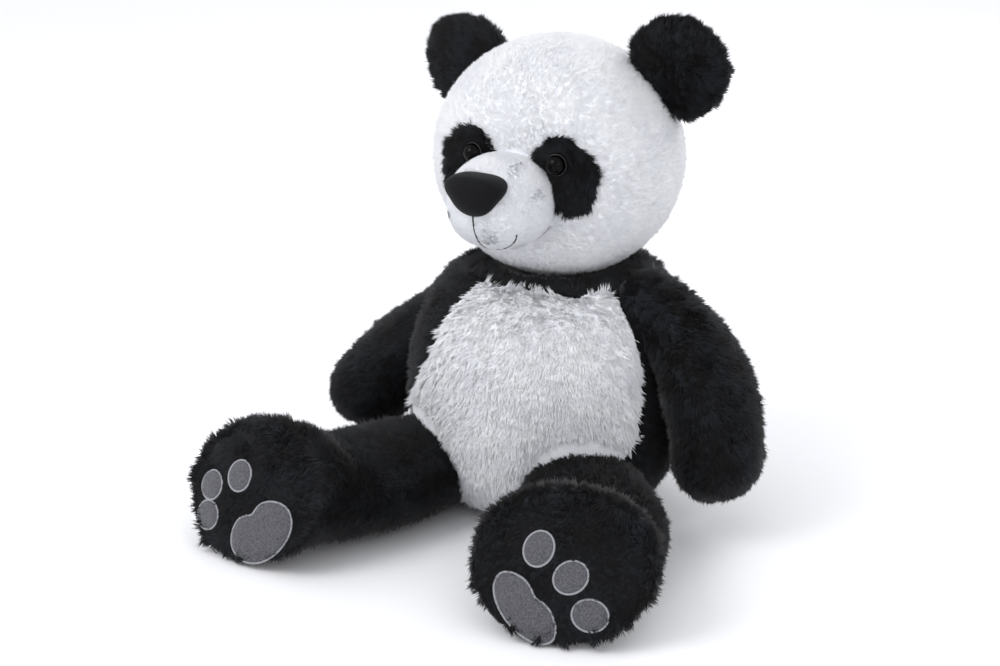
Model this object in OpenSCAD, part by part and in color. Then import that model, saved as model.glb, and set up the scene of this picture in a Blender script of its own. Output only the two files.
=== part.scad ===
// Sitting plush panda, as sewn: fabric panels, stuffing, safety eyes and appliqué pads.
// It faces -Y and its own left side is +X. It sits on the floor, which is z = 0.

/* [Head] */
// Width of the head from cheek to cheek
head_w = 296; // [286:1:304]
// Depth of the head from face to back
head_d = 284; // [276:1:292]
// Height of the head
head_h = 274; // [266:1:280]
// Height of the middle of the head above the floor
head_z = 408; // [406:1:416]
// Distance of the middle of the head behind the origin
head_y = 121; // [117:1:125]

/* [Muzzle and face] */
// Width of the muzzle
muzzle_w = 113; // [108:1:118]
// Height of the muzzle
muzzle_h = 107; // [102:1:112]
// Reach of the muzzle in front of its own middle
muzzle_reach = 67; // [60:1:70]
// Drop of the muzzle's middle below the middle of the head
muzzle_drop = 31; // [28:1:34]
// Width of the nose
nose_w = 70; // [60:1:76]
// Diameter of the moulded eyes
eye_d = 23; // [20:1:25]
// Distance between the middles of the two eyes
eye_gap = 104; // [98:1:110]

/* [Ears] */
// Width of an ear along the head
ear_w = 134; // [120:1:140]
// Height of an ear above the head
ear_h = 80; // [70:1:86]
// Thickness of a stuffed ear
ear_t = 40; // [32:1:44]
// Angle of the ears above level
ear_angle = 38; // [34:1:42]

/* [Torso] */
// Width of the belly
torso_w = 340; // [332:1:344]
// Depth of the belly
torso_d = 300; // [292:1:304]
// Height of the neck seam
neck_z = 292; // [290:1:294]
// Height of the top edge of the belly panel
belly_top = 274; // [268:1:276]

/* [Arms] */
// Radius of the top of the arm, at the shoulder seam
shoulder_r = 50; // [46:1:50]
// Width of the paw
paw_w = 134; // [122:1:138]
// Thickness of the paw
paw_t = 102; // [90:1:106]

/* [Legs] */
// Radius of the top of the leg, at the hip seam
hip_r = 66; // [62:1:66]
// Width of the sole
sole_w = 190; // [180:1:194]
// Height of the sole along its own slope
sole_h = 160; // [152:1:162]
// Angle that the soles lean back
sole_lean = 30; // [26:1:32]
// Angle that the toes roll outwards
sole_roll = 42; // [36:1:48]

/* [Fabric] */
// Thickness of a fabric panel with its pile pressed down
cloth = 4; // [3:0.5:4]
// Room left between a panel and the stuffing
ease_gap = 0.3; // [0.2:0.1:0.5]

/* [Hidden] */

black_plush = [0.06, 0.06, 0.07];
white_plush = [0.93, 0.94, 0.96];
grey_cloth = [0.33, 0.33, 0.35];
filling = [0.97, 0.97, 0.95];
thread = [0.10, 0.10, 0.11];
hard_black = [0.03, 0.03, 0.03];

head_mid = [0, head_y, head_z];
head_r = [head_w, head_d, head_h] / 2;
belly_mid_y = 91;
neck_mid_y = 119;
belly_z = 125;
seat_r = 84;
seat_t = 4.7;
neck_gap = 3;
belly_fall = 135;
chest_rise = 203;
armpit_b = 44;
paw_end = 46;
shoulder = [128, 99, 246];
elbow = [214, 101, 200];
paw_left = [238, 87, 94];
paw_right = [240, 79, 92];
hip = [92, 15, 68];
sole_splay = 14;
sole_mid = [190, -223, 73];
sole_t = 5;
pad_t = 3;
leg_swings = [-8, -2, 4, 10];
arm_swings = [-15, 0, 15, 32, 50, 70];
leg_room = 11;
arm_room = 5;

// ---------- small helpers ----------

function mix(a, b, t) = a + (b - a) * t;
function clamp(t) = min(max(t, 0), 1);
function ease(t) = let (c = clamp(t)) c * c * (3 - 2 * c);
function unit(v) = v / norm(v);
function mirrored(p, side) = [p.x * side, p.y, p.z];
function turned(p, a) = [p.x * cos(a) - p.y * sin(a), p.x * sin(a) + p.y * cos(a), p.z];

// ---------- closed skins and solids from grids of points ----------
// A grid is a list of rows. A row that shrinks to one point is a pole and is kept as one point.

function flat(rows) = [for (row = rows) for (p = row) p];
function starts(rows, i) = i == 0 ? 0 : starts(rows, i - 1) + len(rows[i - 1]);
function at(rows, first, i, j) =
    first[i] + (len(rows[i]) == 1 ? 0 : j % len(rows[i]));
function quad(a, b, c, d) = [
    if (a != b && b != c && a != c) [a, b, c],
    if (a != c && c != d && a != d) [a, c, d]
];

// Faces of one grid surface. cols is the number of cells along a row.
function surface_faces(rows, first, cols) = [
    for (i = [0:len(rows) - 2]) for (j = [0:cols - 1])
        for (f = quad(at(rows, first, i, j), at(rows, first, i, j + 1),
                      at(rows, first, i + 1, j + 1), at(rows, first, i + 1, j))) f
];
function backwards(faces) = [for (f = faces) [f[2], f[1], f[0]]];
function shifted(faces, n) = [for (f = faces) [f[0] + n, f[1] + n, f[2] + n]];

// A closed solid whose grid starts and ends in a pole and closes round on itself.
module closed_form(rows, flip = false) {
    first = [for (i = [0:len(rows) - 1]) starts(rows, i)];
    faces = surface_faces(rows, first, max([for (r = rows) len(r)]));
    polyhedron(points = flat(rows), faces = flip ? backwards(faces) : faces);
}

// A skin between an outer and an inner grid of the same layout.
module skin(outer, inner, round = false, flip = false) {
    first = [for (i = [0:len(outer) - 1]) starts(outer, i)];
    n = len(flat(outer));
    last = len(outer) - 1;
    widest = max([for (r = outer) len(r)]);
    cols = round ? widest : widest - 1;
    top = surface_faces(outer, first, cols);
    ends = [for (i = [0, last]) if (len(outer[i]) > 1) i];
    end_faces = [
        for (i = ends) for (j = [0:cols - 1])
            let (a = at(outer, first, i, j), b = at(outer, first, i, j + 1))
            for (f = quad(a, a + n, b + n, b)) i == 0 ? f : [f[2], f[1], f[0]]
    ];
    side_faces = round ? [] : [
        for (i = [0:last - 1]) for (j = [0, cols])
            let (a = at(outer, first, i, j), b = at(outer, first, i + 1, j))
            for (f = quad(a, b, b + n, a + n)) j == 0 ? f : [f[2], f[1], f[0]]
    ];
    faces = concat(top, shifted(backwards(top), n), end_faces, side_faces);
    polyhedron(points = concat(flat(outer), flat(inner)), faces = flip ? backwards(faces) : faces);
}

// ---------- torso ----------

// Share of the full girth at a height: a flat seat, a round belly and a narrower chest.
function girth(z) =
    z < belly_z ? pow(1 - pow((belly_z - z) / belly_fall, 2.6), 1 / 2.6)
                : sqrt(1 - pow((z - belly_z) / chest_rise, 2));
function torso_mid_y(z) = mix(belly_mid_y, neck_mid_y, ease((z - 150) / 140));
function torso_free(u, z) =
    let (w = torso_w / 2 * girth(z), d = torso_d / 2 * girth(z) * mix(1, 1.1, ease((z - 150) / 140)))
    1 / sqrt(pow(sin(u) / w, 2) + pow(cos(u) / d, 2));

// Distance along a level ray at which it meets a ball of level radius a and upright radius b.
function entry(from, dir, z, ball, a, b) =
    abs(z - ball.z) >= b ? 1e3 :
    let (r = a * sqrt(1 - pow((z - ball.z) / b, 2)),
         v = [ball.x - from.x, ball.y - from.y],
         along = v * dir,
         under = along * along - v * v + r * r)
    under <= 0 || along <= 0 ? 1e3 : along - sqrt(under);

// The hollows for the limbs, which let them turn without touching the torso.
leg_balls = [
    for (a = leg_swings) for (s = [0:0.07:0.56])
        [hip + turned((sole_mid - hip) * s + leg_bow(s), a), leg_a(s) + leg_room, leg_b(s) + leg_room]
];
function raised(v, a) = [v.x, v.y * cos(a) + v.z * sin(a), v.z * cos(a) - v.y * sin(a)];
arm_balls = [
    for (a = arm_swings) for (s = [0:0.1:0.6]) for (k = s < 0.3 ? [0] : [-1, 0, 1])
        let (across = [0, k * (arm_a(s) - arm_b(s)), 0])
        [shoulder + raised(arm_at(s, 1, paw_left) - shoulder + across, a),
         arm_b(s) + arm_room, arm_b(s) + arm_room]
];
function torso_r(u, z) =
    let (from = [0, torso_mid_y(z)], dir = [abs(sin(u)), -cos(u)])
    min(concat([torso_free(u, z)],
        [for (b = leg_balls) entry(from, dir, z, b[0], b[1], b[2])],
        [for (b = arm_balls) entry(from, dir, z, b[0], b[1], b[2])]));
function torso_at(u, z, inset) =
    let (r = torso_r(u, z) - inset)
    [r * sin(u), torso_mid_y(z) - r * cos(u), z];

// The belly panel is a shield. The chest is turned a little to its own left.
function belly_turn(z) = mix(-6, 18, ease((z - 40) / 170));
function belly_half(z) =
    z < 120 ? 3 + 63 * pow(1 - pow((120 - z) / 116, 2), 0.5)
            : mix(66, 45, pow((z - 120) / (belly_top - 120), 0.8));
seat_z = 5;
torso_zs = [for (k = [0:16]) mix(seat_z, neck_z, pow(k / 16, 1.15))];
belly_zs = [for (k = [0:13]) mix(seat_z, belly_top, pow(k / 13, 1.15))];

module torso_panel(zs, from, to, cols) {
    grid = [for (inset = [0, cloth])
        [for (z = zs) [for (k = [0:cols])
            torso_at(mix(from(z), to(z), k / cols), z, inset)]]];
    skin(grid[0], grid[1]);
}
seam = 0.25;
module belly_panel()
    color(white_plush)
    torso_panel(belly_zs, function(z) belly_turn(z) - belly_half(z) + seam,
                function(z) belly_turn(z) + belly_half(z) - seam, 20);
module side_panel_left()
    color(black_plush)
    torso_panel(belly_zs, function(z) belly_turn(z) + belly_half(z) + seam,
                function(z) 100 - seam, 9);
module side_panel_right()
    color(black_plush)
    torso_panel(belly_zs, function(z) -100 + seam,
                function(z) belly_turn(z) - belly_half(z) - seam, 9);
module chest_yoke()
    color(black_plush)
    torso_panel([for (k = [0:3]) mix(belly_top + 0.5, neck_z, k / 3)],
                function(z) -100 + seam, function(z) 100 - seam, 24);
module back_panel(from, to)
    color(black_plush)
    torso_panel(torso_zs, function(z) from + seam, function(z) to - seam, 10);
module back_panel_left() back_panel(100, 180);
module back_panel_right() back_panel(180, 260);

// The flat seat that the toy rests on.
module seat_panel()
    color(black_plush)
    translate([0, belly_mid_y, 0])
    cylinder(r = seat_r, h = seat_t, $fn = 96);

// The filling stays inside the nearest panels and is hollowed on top for the head.
function filling_at(u, z) =
    let (low = max(z - 16, seat_z), high = min(z + 16, neck_z),
         r = min([for (a = [-9, 0, 9]) for (h = [low, z, high]) torso_r(u + a, h)]) - cloth - ease_gap)
    [r * sin(u), torso_mid_y(z) - r * cos(u), z];
function head_under(r) =
    head_z - head_r.z * sqrt(1 - pow(r / min(head_r.x, head_r.y), 2)) - neck_gap - 2;
module torso_stuffing() {
    n = 48;
    lift = seat_z + ease_gap;
    zs = [for (k = [0:15]) mix(lift, neck_z - 8, pow(k / 15, 1.15))];
    wall = [for (z = zs) [for (k = [0:n - 1]) filling_at(360 * k / n, z)]];
    bowl = [for (r = [66, 45, 23]) [for (k = [0:n - 1])
        [r * sin(360 * k / n), neck_mid_y - r * cos(360 * k / n), head_under(r)]]];
    color(filling)
    closed_form(concat([[[0, belly_mid_y, lift]]], wall, bowl,
                       [[[0, neck_mid_y, head_under(0)]]]));
}

// The doubled thread that closes the neck seam, between torso and head.
module neck_thread()
    color(thread)
    translate([0, head_y, neck_z - 5])
    rotate_extrude($fn = 96)
    translate([76, 0])
    circle(r = 1.5, $fn = 24);

// ---------- head ----------

// The face is flattened: reach is how far forward the round form would stand, from 0 to 1.
face_flat = 0.73;
function face(reach) = reach <= 0 ? reach : reach / pow(1 + pow(reach / face_flat, 5), 0.2);
function face_reach(y) =
    y <= 0 ? y : y >= face_flat - 0.005 ? 9 : y / pow(1 - pow(y / face_flat, 5), 0.2);
// A point of the head's skin in a direction, moved in by inset.
function head_at(dir, inset) =
    head_mid + [dir.x * (head_r.x - inset), -face(-dir.y) * (head_r.y - inset), dir.z * (head_r.z - inset)];
function head_row(a, inset, side, n) =
    a >= 90 ? [head_at([side, 0, 0], inset)] :
    [for (k = [0:n - 1]) let (t = 360 * k / n)
        head_at([side * sin(a), -cos(a) * cos(t), cos(a) * sin(t)], inset)];
module head_panel(side) {
    lows = [for (a = [0.1:8.99:90]) a];
    as = concat(lows, [90]);
    color(white_plush)
    skin([for (a = as) head_row(a, 0, side, 28)],
         [for (a = as) head_row(a, cloth, side, 28)],
         round = true, flip = side < 0);
}
module head_panel_left() head_panel(1);
module head_panel_right() head_panel(-1);
module head_stuffing() {
    inset = cloth + 1.4;
    color(filling)
    closed_form(concat([[head_at([-1, 0, 0], inset)]],
        [for (a = [-81:9:81]) [for (k = [0:27]) let (t = 360 * k / 28)
            head_at([sin(a), -cos(a) * cos(t), cos(a) * sin(t)], inset)]],
        [[head_at([1, 0, 0], inset)]]));
}

// ---------- muzzle ----------

muzzle_mid = [0, head_y - 114, head_z - muzzle_drop];
muzzle_r = [muzzle_w / 2, muzzle_reach, muzzle_h / 2];
muzzle_lift = 3.8;
function muzzle_at(a, t, inset) =
    muzzle_mid + [(muzzle_r.x - inset) * sin(a) * cos(t),
                  -(muzzle_r.y - inset) * cos(a),
                  (muzzle_r.z - inset) * sin(a) * sin(t)];
// How far out of the head a point lies, as a share of the head grown by the lift.
function head_level(p, lift) =
    let (v = p - head_mid)
    norm([v.x / (head_r.x + lift), face_reach(-v.y / (head_r.y + lift)), v.z / (head_r.z + lift)]);
// Angle from the muzzle's tip at which it reaches the head, found by halving.
function rim(t, inset, low = 40, high = 150, n = 14) =
    n == 0 ? low :
    let (m = (low + high) / 2)
    head_level(muzzle_at(m, t, inset), muzzle_lift) > 1 ? rim(t, inset, m, high, n - 1)
                                                        : rim(t, inset, low, m, n - 1);
module muzzle_panel() {
    n = 28;
    grid = [for (inset = [0, cloth])
        concat([[muzzle_at(0, 0, inset)]],
            [for (i = [1:8]) [for (k = [0:n - 1]) let (t = 360 * k / n)
                muzzle_at(rim(t, inset) * i / 8, t, inset)]])];
    color(white_plush)
    skin(grid[0], grid[1], round = true, flip = true);
}
// The head's surface straight behind a point of the muzzle.
function head_behind(p, lift) =
    let (v = p - head_mid,
         q = 1 - pow(v.x / (head_r.x + lift), 2) - pow(v.z / (head_r.z + lift), 2))
    [p.x, head_mid.y - (head_r.y + lift) * face(sqrt(max(q, 0))), p.z];
module muzzle_stuffing() {
    n = 28;
    inset = cloth + 1.6;
    front = [for (i = [1:7]) [for (k = [0:n - 1]) let (t = 360 * k / n)
        muzzle_at(rim(t, inset) * i / 7.4, t, inset)]];
    behind = [for (i = [7:-2:1]) [for (p = front[i - 1]) head_behind(p, muzzle_lift + ease_gap)]];
    color(filling)
    closed_form(concat([[muzzle_at(0, 0, inset)]], front, behind,
        [[head_behind(muzzle_mid, muzzle_lift + ease_gap)]]), flip = true);
}

// ---------- pieces that lie on the muzzle and the head ----------

function muzzle_skin_at(x, z, out) =
    let (q = 1 - pow(x / (muzzle_r.x + out), 2) - pow(z / (muzzle_r.z + out), 2))
    muzzle_mid + [x, -(muzzle_r.y + out) * sqrt(max(q, 0)), z];

// Padded nose, a rounded triangle that is broad on top. Its front is nearly flat and its edge thick.
nose_rise = 25;
nose_lift = 1.2;
function nose_front(s) = muzzle_mid.y - muzzle_r.y - 9 + 13 * pow(s, 3);
function nose_reach(t) = 1 + 0.10 * sin(3 * t) - 0.05 * cos(2 * t + 180);
module nose() {
    n = 24;
    // front runs from 0 on the muzzle's skin to 1 on the nose's front
    ring = function(s, front) [for (k = [0:n - 1]) let (t = 360 * k / n,
            p = muzzle_skin_at(nose_w / 2 * s * nose_reach(t) * cos(t),
                               nose_rise + nose_w * 0.31 * s * nose_reach(t) * sin(t), nose_lift))
        [p.x, mix(p.y, nose_front(s), front), p.z]];
    color(black_plush)
    closed_form(concat([[[0, nose_front(0), muzzle_mid.z + nose_rise]]],
        [for (s = [0.25, 0.5, 0.7, 0.85, 0.95]) ring(s, 1)],
        [ring(1, 0.85), ring(1, 0.4)], [for (s = [0.95, 0.6, 0.3]) ring(s, 0)],
        [[muzzle_skin_at(0, nose_rise, nose_lift)]]), flip = true);
}

// Embroidered mouth: a line down from the nose and a smile.
stitch_r = 0.9;
module stitch(path) {
    n = 6;
    last = len(path) - 1;
    rows = [for (i = [0:last])
        let (along = unit(path[min(i + 1, last)] - path[max(i - 1, 0)]),
             out = unit(path[i] - muzzle_mid),
             across = unit(cross(along, out)),
             up = cross(across, along))
        [for (k = [0:n - 1])
            path[i] + stitch_r * (across * cos(60 * k) + up * sin(60 * k))]];
    closed_form(concat([[path[0]]], rows, [[path[last]]]), flip = true);
}
mouth_low = -45;
module mouth_stitch()
    color(thread) {
        stitch([for (z = [0:-5:mouth_low + 3]) muzzle_skin_at(0, z, stitch_r + 0.3)]);
        stitch([for (a = [-80:8:80])
            muzzle_skin_at(41 * sin(a), mouth_low + 29 * (1 - cos(a)), stitch_r + 0.3)]);
    }

// Eye patch: an oval of black plush laid on the head, leaning outwards at the bottom.
patch_mid = [58, -130, 5];
patch_lean = 24;
patch_t = 3;
function patch_dir(p, q, side) =
    let (m = unit([patch_mid.x / head_r.x, patch_mid.y / head_r.y, patch_mid.z / head_r.z]),
         e = unit(cross([0, 0, 1], m)), f = cross(m, e),
         d = unit(m + (e * p + f * q) / 142))
    mirrored(d, side);
module eye_patch(side) {
    n = 24;
    ring = function(s, lift) [for (k = [0:n - 1]) let (t = 360 * k / n,
            p = 39 * s * cos(t), q = 47 * s * sin(t))
        head_at(patch_dir(p * cos(patch_lean) - q * sin(patch_lean),
                          p * sin(patch_lean) + q * cos(patch_lean), side), -lift)];
    top = [for (s = [0, 0.25, 0.5, 0.75, 1]) s == 0 ? [ring(0, patch_t)[0]] : ring(s, patch_t)];
    low = [for (s = [0, 0.25, 0.5, 0.75, 1]) s == 0 ? [ring(0, 0.4)[0]] : ring(s, 0.4)];
    color(black_plush)
    skin(top, low, round = true, flip = side > 0);
}
module eye_patch_left() eye_patch(1);
module eye_patch_right() eye_patch(-1);

// Moulded safety eye: a dome with a rim and a stem, held by a washer inside the head.
eye_rise = 14;
eye_dir = let (a = eye_gap / 2 / head_r.x, c = eye_rise / head_r.z) [a, -sqrt(1 - a * a - c * c), c];
module at_eye(side)
    translate(head_at(mirrored(eye_dir, side), 0))
    rotate([0, 0, atan2(eye_dir.x * side, -eye_dir.y) * 0.4])
    rotate([90 - asin(eye_dir.z) * 0.6, 0, 0])
    children();
eye_seat = patch_t + 0.2;
stem_r = 2.6;
stem_l = 24;
washer_r = 10;
washer_t = 2;
washer_z = -cloth - 11;
module safety_eye(side)
    color(hard_black)
    at_eye(side)
    rotate_extrude($fn = 64)
    difference() {
        union() {
            translate([0, eye_seat]) circle(d = eye_d, $fn = 96);
            translate([0, -stem_l]) square([stem_r, stem_l + eye_seat]);
        }
        translate([-50, -60]) square([50, 120]);
        translate([stem_r, eye_seat - 60]) square([50, 60]);
    }
module eye_left() safety_eye(1);
module eye_right() safety_eye(-1);
module washer(side)
    color(filling)
    at_eye(side)
    translate([0, 0, washer_z])
    difference() {
        cylinder(r = washer_r, h = washer_t, $fn = 64);
        translate([0, 0, -1]) cylinder(r = stem_r + 0.05, h = washer_t + 2, $fn = 64);
    }
module eye_washer_left() washer(1);
module eye_washer_right() washer(-1);

// ---------- ears ----------

ear_yaw = 12;
ear_gap = 5;
// The ear's own frame: a runs across it, b through it and c out along it.
function ear_point(a, b, c, side) =
    let (r = norm([head_r.x * cos(ear_angle), head_r.z * sin(ear_angle)]),
         out = [cos(ear_angle), 0, sin(ear_angle)],
         over = [-sin(ear_angle), 0, cos(ear_angle)],
         turn = function(v) [v.x * cos(ear_yaw) - v.y * sin(ear_yaw),
                             v.x * sin(ear_yaw) + v.y * cos(ear_yaw), v.z],
         p = out * (r + c) + turn(over * a) + turn([0, b, 0]))
    mirrored(head_mid + [0, 10, 0] + p, side);
// Height along the ear at which it leaves the head by the gap.
function ear_foot(a, b, side, low = -60, high = 60, n = 12) =
    n == 0 ? high :
    let (m = (low + high) / 2)
    head_level(ear_point(a, b, m, side), ear_gap) > 1 ? ear_foot(a, b, side, low, m, n - 1)
                                                      : ear_foot(a, b, side, m, high, n - 1);
// A point of the ear: s runs from root to tip and t round it.
function ear_at(s, t, inset, side) =
    let (w = ear_w / 2 - inset, th = ear_t / 2 - inset, h = ear_h - inset,
         round = sqrt(max(1 - pow(max(s - 0.15, 0) / 0.85, 2.3), 0)),
         width = w * round * mix(0.93, 1, ease(s / 0.3)),
         a = width * cos(t), b = th * pow(round, 0.8) * sin(t),
         foot = ear_foot(width * cos(t), b, side))
    ear_point(a, b, mix(foot + (inset > cloth ? 0.5 : 0), h, s), side);
ear_rows = [0, 0.15, 0.3, 0.45, 0.6, 0.72, 0.82, 0.9, 0.96, 1];
module ear_half(side, from) {
    n = 14;
    grid = [for (inset = [0, cloth]) [for (s = ear_rows)
        s == 1 ? [ear_at(1, 0, inset, side)] :
        [for (k = [0:n]) ear_at(s, mix(from + 2, from + 178, k / n), inset, side)]]];
    color(black_plush)
    skin(grid[0], grid[1], flip = side > 0);
}
module ear_front_left() ear_half(1, 180);
module ear_front_right() ear_half(-1, 180);
module ear_back_left() ear_half(1, 0);
module ear_back_right() ear_half(-1, 0);
module ear_stuffing(side) {
    inset = cloth + 0.8;
    color(filling)
    closed_form(concat([[ear_at(0, 90, ear_t / 2 - 0.1, side)]],
        [for (s = ear_rows) s == 1 ? [ear_at(1, 0, inset, side)] :
            [for (k = [0:23]) ear_at(s, 15 * k, inset, side)]]), flip = side > 0);
}
module ear_stuffing_left() ear_stuffing(1);
module ear_stuffing_right() ear_stuffing(-1);

// ---------- arms ----------

function arm_at(t, side, paw) =
    mirrored(shoulder * (1 - t) * (1 - t) + elbow * 2 * t * (1 - t) + [abs(paw.x), paw.y, paw.z] * t * t, side);
function arm_along(t, side, paw) =
    unit(arm_at(t + 0.01, side, paw) - arm_at(t - 0.01, side, paw));
function arm_a(t) = mix(shoulder_r, paw_w / 2, ease((t - 0.25) / 0.4));
function arm_b(t) = mix(mix(shoulder_r, armpit_b, ease(t / 0.4)), paw_t / 2, ease((t - 0.45) / 0.4));
// A ring of the arm. s from -1 to 0 is the round top, 0 to 1 the tube, 1 to 2 the paw's end.
function arm_ring(s, inset, side, paw, angles) =
    let (t = clamp(s), along = arm_along(t, side, paw),
         wide = unit([0, 1, 0] - along * along.y), thick = cross(along, wide),
         a = arm_a(t) - inset, b = arm_b(t) - inset,
         turn = s < 0 ? -90 * s : s > 1 ? 90 * (s - 1) : 0,
         push = s < 0 ? -(shoulder_r - inset) * sin(turn) : s > 1 ? (paw_end - inset) * sin(turn) : 0,
         mid = arm_at(t, side, paw) + along * push)
    turn > 89.9 ? [mid] :
    [for (u = angles) mid + (wide * a * cos(u) + thick * b * sin(u)) * cos(turn)];
arm_steps = [-1, -0.78, -0.52, -0.26, 0, 0.13, 0.26, 0.4, 0.54, 0.68, 0.84, 1, 1.28, 1.55, 1.8, 2];
module arm_half(side, paw, from) {
    angles = [for (k = [0:12]) mix(from + 0.4, from + 179.6, k / 12)];
    color(black_plush)
    skin([for (s = arm_steps) arm_ring(s, 0, side, paw, angles)],
         [for (s = arm_steps) arm_ring(s, cloth, side, paw, angles)]);
}
module arm_outer_left() arm_half(1, paw_left, 180);
module arm_outer_right() arm_half(-1, paw_right, 0);
module arm_inner_left() arm_half(1, paw_left, 0);
module arm_inner_right() arm_half(-1, paw_right, 180);
module arm_stuffing(side, paw) {
    angles = [for (k = [0:23]) 15 * k];
    color(filling)
    closed_form([for (s = arm_steps) arm_ring(s, cloth + ease_gap, side, paw, angles)]);
}
module arm_stuffing_left() arm_stuffing(1, paw_left);
module arm_stuffing_right() arm_stuffing(-1, paw_right);

// ---------- legs ----------

// The thigh is widest on its outer side, where it sinks to the floor.
function leg_bow(t) = [9, 4, 0] * sin(180 * t);
function leg_a(t) = mix(mix(hip_r, 80, ease(t / 0.35)), sole_w / 2, ease((t - 0.5) / 0.5));
function leg_b(t) = mix(hip_r, sole_h / 2 * cos(sole_lean), ease(t));
sole_out = [sin(sole_splay) * cos(sole_lean), -cos(sole_splay) * cos(sole_lean), sin(sole_lean)];
sole_across = [cos(sole_splay), sin(sole_splay), 0];
sole_up = cross(sole_out, sole_across);
leg_end = sole_mid - sole_out * (sole_t + 0.3);
// A ring of the leg. s from -1 to 0 is the round top and 0 to 1 the tube down to the sole.
function leg_ring(s, inset, side, angles) =
    let (t = clamp(s), straight = unit(leg_end - hip),
         facing = unit(mix(straight, sole_out, ease((t - 0.3) / 0.7))),
         wide = unit(cross([0, 0, 1], facing)), high = cross(facing, wide),
         slope = straight * facing,
         a = leg_a(t) - inset, b = (leg_b(t) - inset) / slope,
         turn = s < 0 ? -90 * s : 0,
         mid = mix(hip, leg_end, t) + leg_bow(t) - straight * (hip_r - inset) * sin(turn))
    turn > 89.9 ? [mirrored(mid, side)] :
    [for (u = angles) mirrored(mid + (wide * a * cos(u) + high * b * sin(u)) * cos(turn), side)];
leg_steps = [-1, -0.78, -0.52, -0.26, 0, 0.14, 0.28, 0.42, 0.56, 0.7, 0.8, 0.9, 1];
module leg_half(side, from) {
    angles = [for (k = [0:14]) mix(from + 0.3, from + 179.7, k / 14)];
    color(black_plush)
    skin([for (s = leg_steps) leg_ring(s, 0, side, angles)],
         [for (s = leg_steps) leg_ring(s, cloth, side, angles)], flip = side < 0);
}
module leg_upper_left() leg_half(1, 0);
module leg_upper_right() leg_half(-1, 0);
module leg_lower_left() leg_half(1, 180);
module leg_lower_right() leg_half(-1, 180);
module leg_stuffing(side) {
    inset = cloth + ease_gap;
    angles = [for (k = [0:27]) 360 * k / 28];
    color(filling)
    closed_form(concat([for (s = leg_steps) leg_ring(s, inset, side, angles)],
                       [[mirrored(leg_end, side)]]), flip = side < 0);
}
module leg_stuffing_left() leg_stuffing(1);
module leg_stuffing_right() leg_stuffing(-1);

// Places flat shapes on the sole: x runs outwards, y up the sole, z out of it.
module on_sole(side, lift) {
    m = sole_mid + sole_out * (lift - sole_t);
    multmatrix([
        [sole_across.x, side * sole_up.x, side * sole_out.x, side * m.x],
        [side * sole_across.y, sole_up.y, sole_out.y, m.y],
        [side * sole_across.z, sole_up.z, sole_out.z, m.z],
        [0, 0, 0, 1]])
    children();
}
function oval(rx, ry, n = 40) = [for (k = [0:n - 1]) [rx * cos(360 * k / n), ry * sin(360 * k / n)]];
module sole(side)
    color(black_plush)
    on_sole(side, 0)
    linear_extrude(height = sole_t)
    polygon(oval(sole_w / 2, sole_h / 2, 56));
module sole_left() sole(1);
module sole_right() sole(-1);

// Grey appliqué pads, each [outwards, up] on the sole. The left foot is rolled inwards a little more,
// so its pads lie lower and its heel pad is drawn in.
heart_places = [[-27, -44], [-30, -38]];
toe_places = [[[-19, 16, 10], [18, -9, 52], [41, -44, 88]], [[17, 12, 43], [60, -8, 72], [54, -42, 93]]];
function heart(t, high, low) = let (k = 1 - 0.24 * exp(-pow((t - 90) / 20, 2)))
    [43 * k * cos(t), (sin(t) > 0 ? high : low) * k * sin(t)];
module pad_at(side, place, roll)
    on_sole(side, sole_t + 0.2)
    translate([place.x * side, place.y])
    rotate(-roll * side)
    linear_extrude(height = pad_t)
    children();
module heel_pad(side)
    color(grey_cloth)
    pad_at(side, heart_places[side > 0 ? 0 : 1], sole_roll)
    polygon([for (k = [0:47]) heart(7.5 * k, side > 0 ? 21 : 28, side > 0 ? 24 : 30)]);
module toe_pads(side)
    color(grey_cloth)
    for (p = toe_places[side > 0 ? 0 : 1])
        pad_at(side, p, p.z) polygon(oval(16, 18.5));
module heel_pad_left() heel_pad(1);
module heel_pad_right() heel_pad(-1);
module toe_pads_left() toe_pads(1);
module toe_pads_right() toe_pads(-1);

// ---------- output ----------

belly_panel();
chest_yoke();
side_panel_left();
side_panel_right();
back_panel_left();
back_panel_right();
seat_panel();
torso_stuffing();
neck_thread();
head_panel_left();
head_panel_right();
head_stuffing();
muzzle_panel();
muzzle_stuffing();
nose();
mouth_stitch();
eye_patch_left();
eye_patch_right();
eye_left();
eye_right();
eye_washer_left();
eye_washer_right();
ear_front_left();
ear_front_right();
ear_back_left();
ear_back_right();
ear_stuffing_left();
ear_stuffing_right();
arm_outer_left();
arm_outer_right();
arm_inner_left();
arm_inner_right();
arm_stuffing_left();
arm_stuffing_right();
leg_upper_left();
leg_upper_right();
leg_lower_left();
leg_lower_right();
leg_stuffing_left();
leg_stuffing_right();
sole_left();
sole_right();
heel_pad_left();
heel_pad_right();
toe_pads_left();
toe_pads_right();
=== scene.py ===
import math

import bpy
import numpy as np
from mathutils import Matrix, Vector
from mathutils.bvhtree import BVHTree


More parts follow.
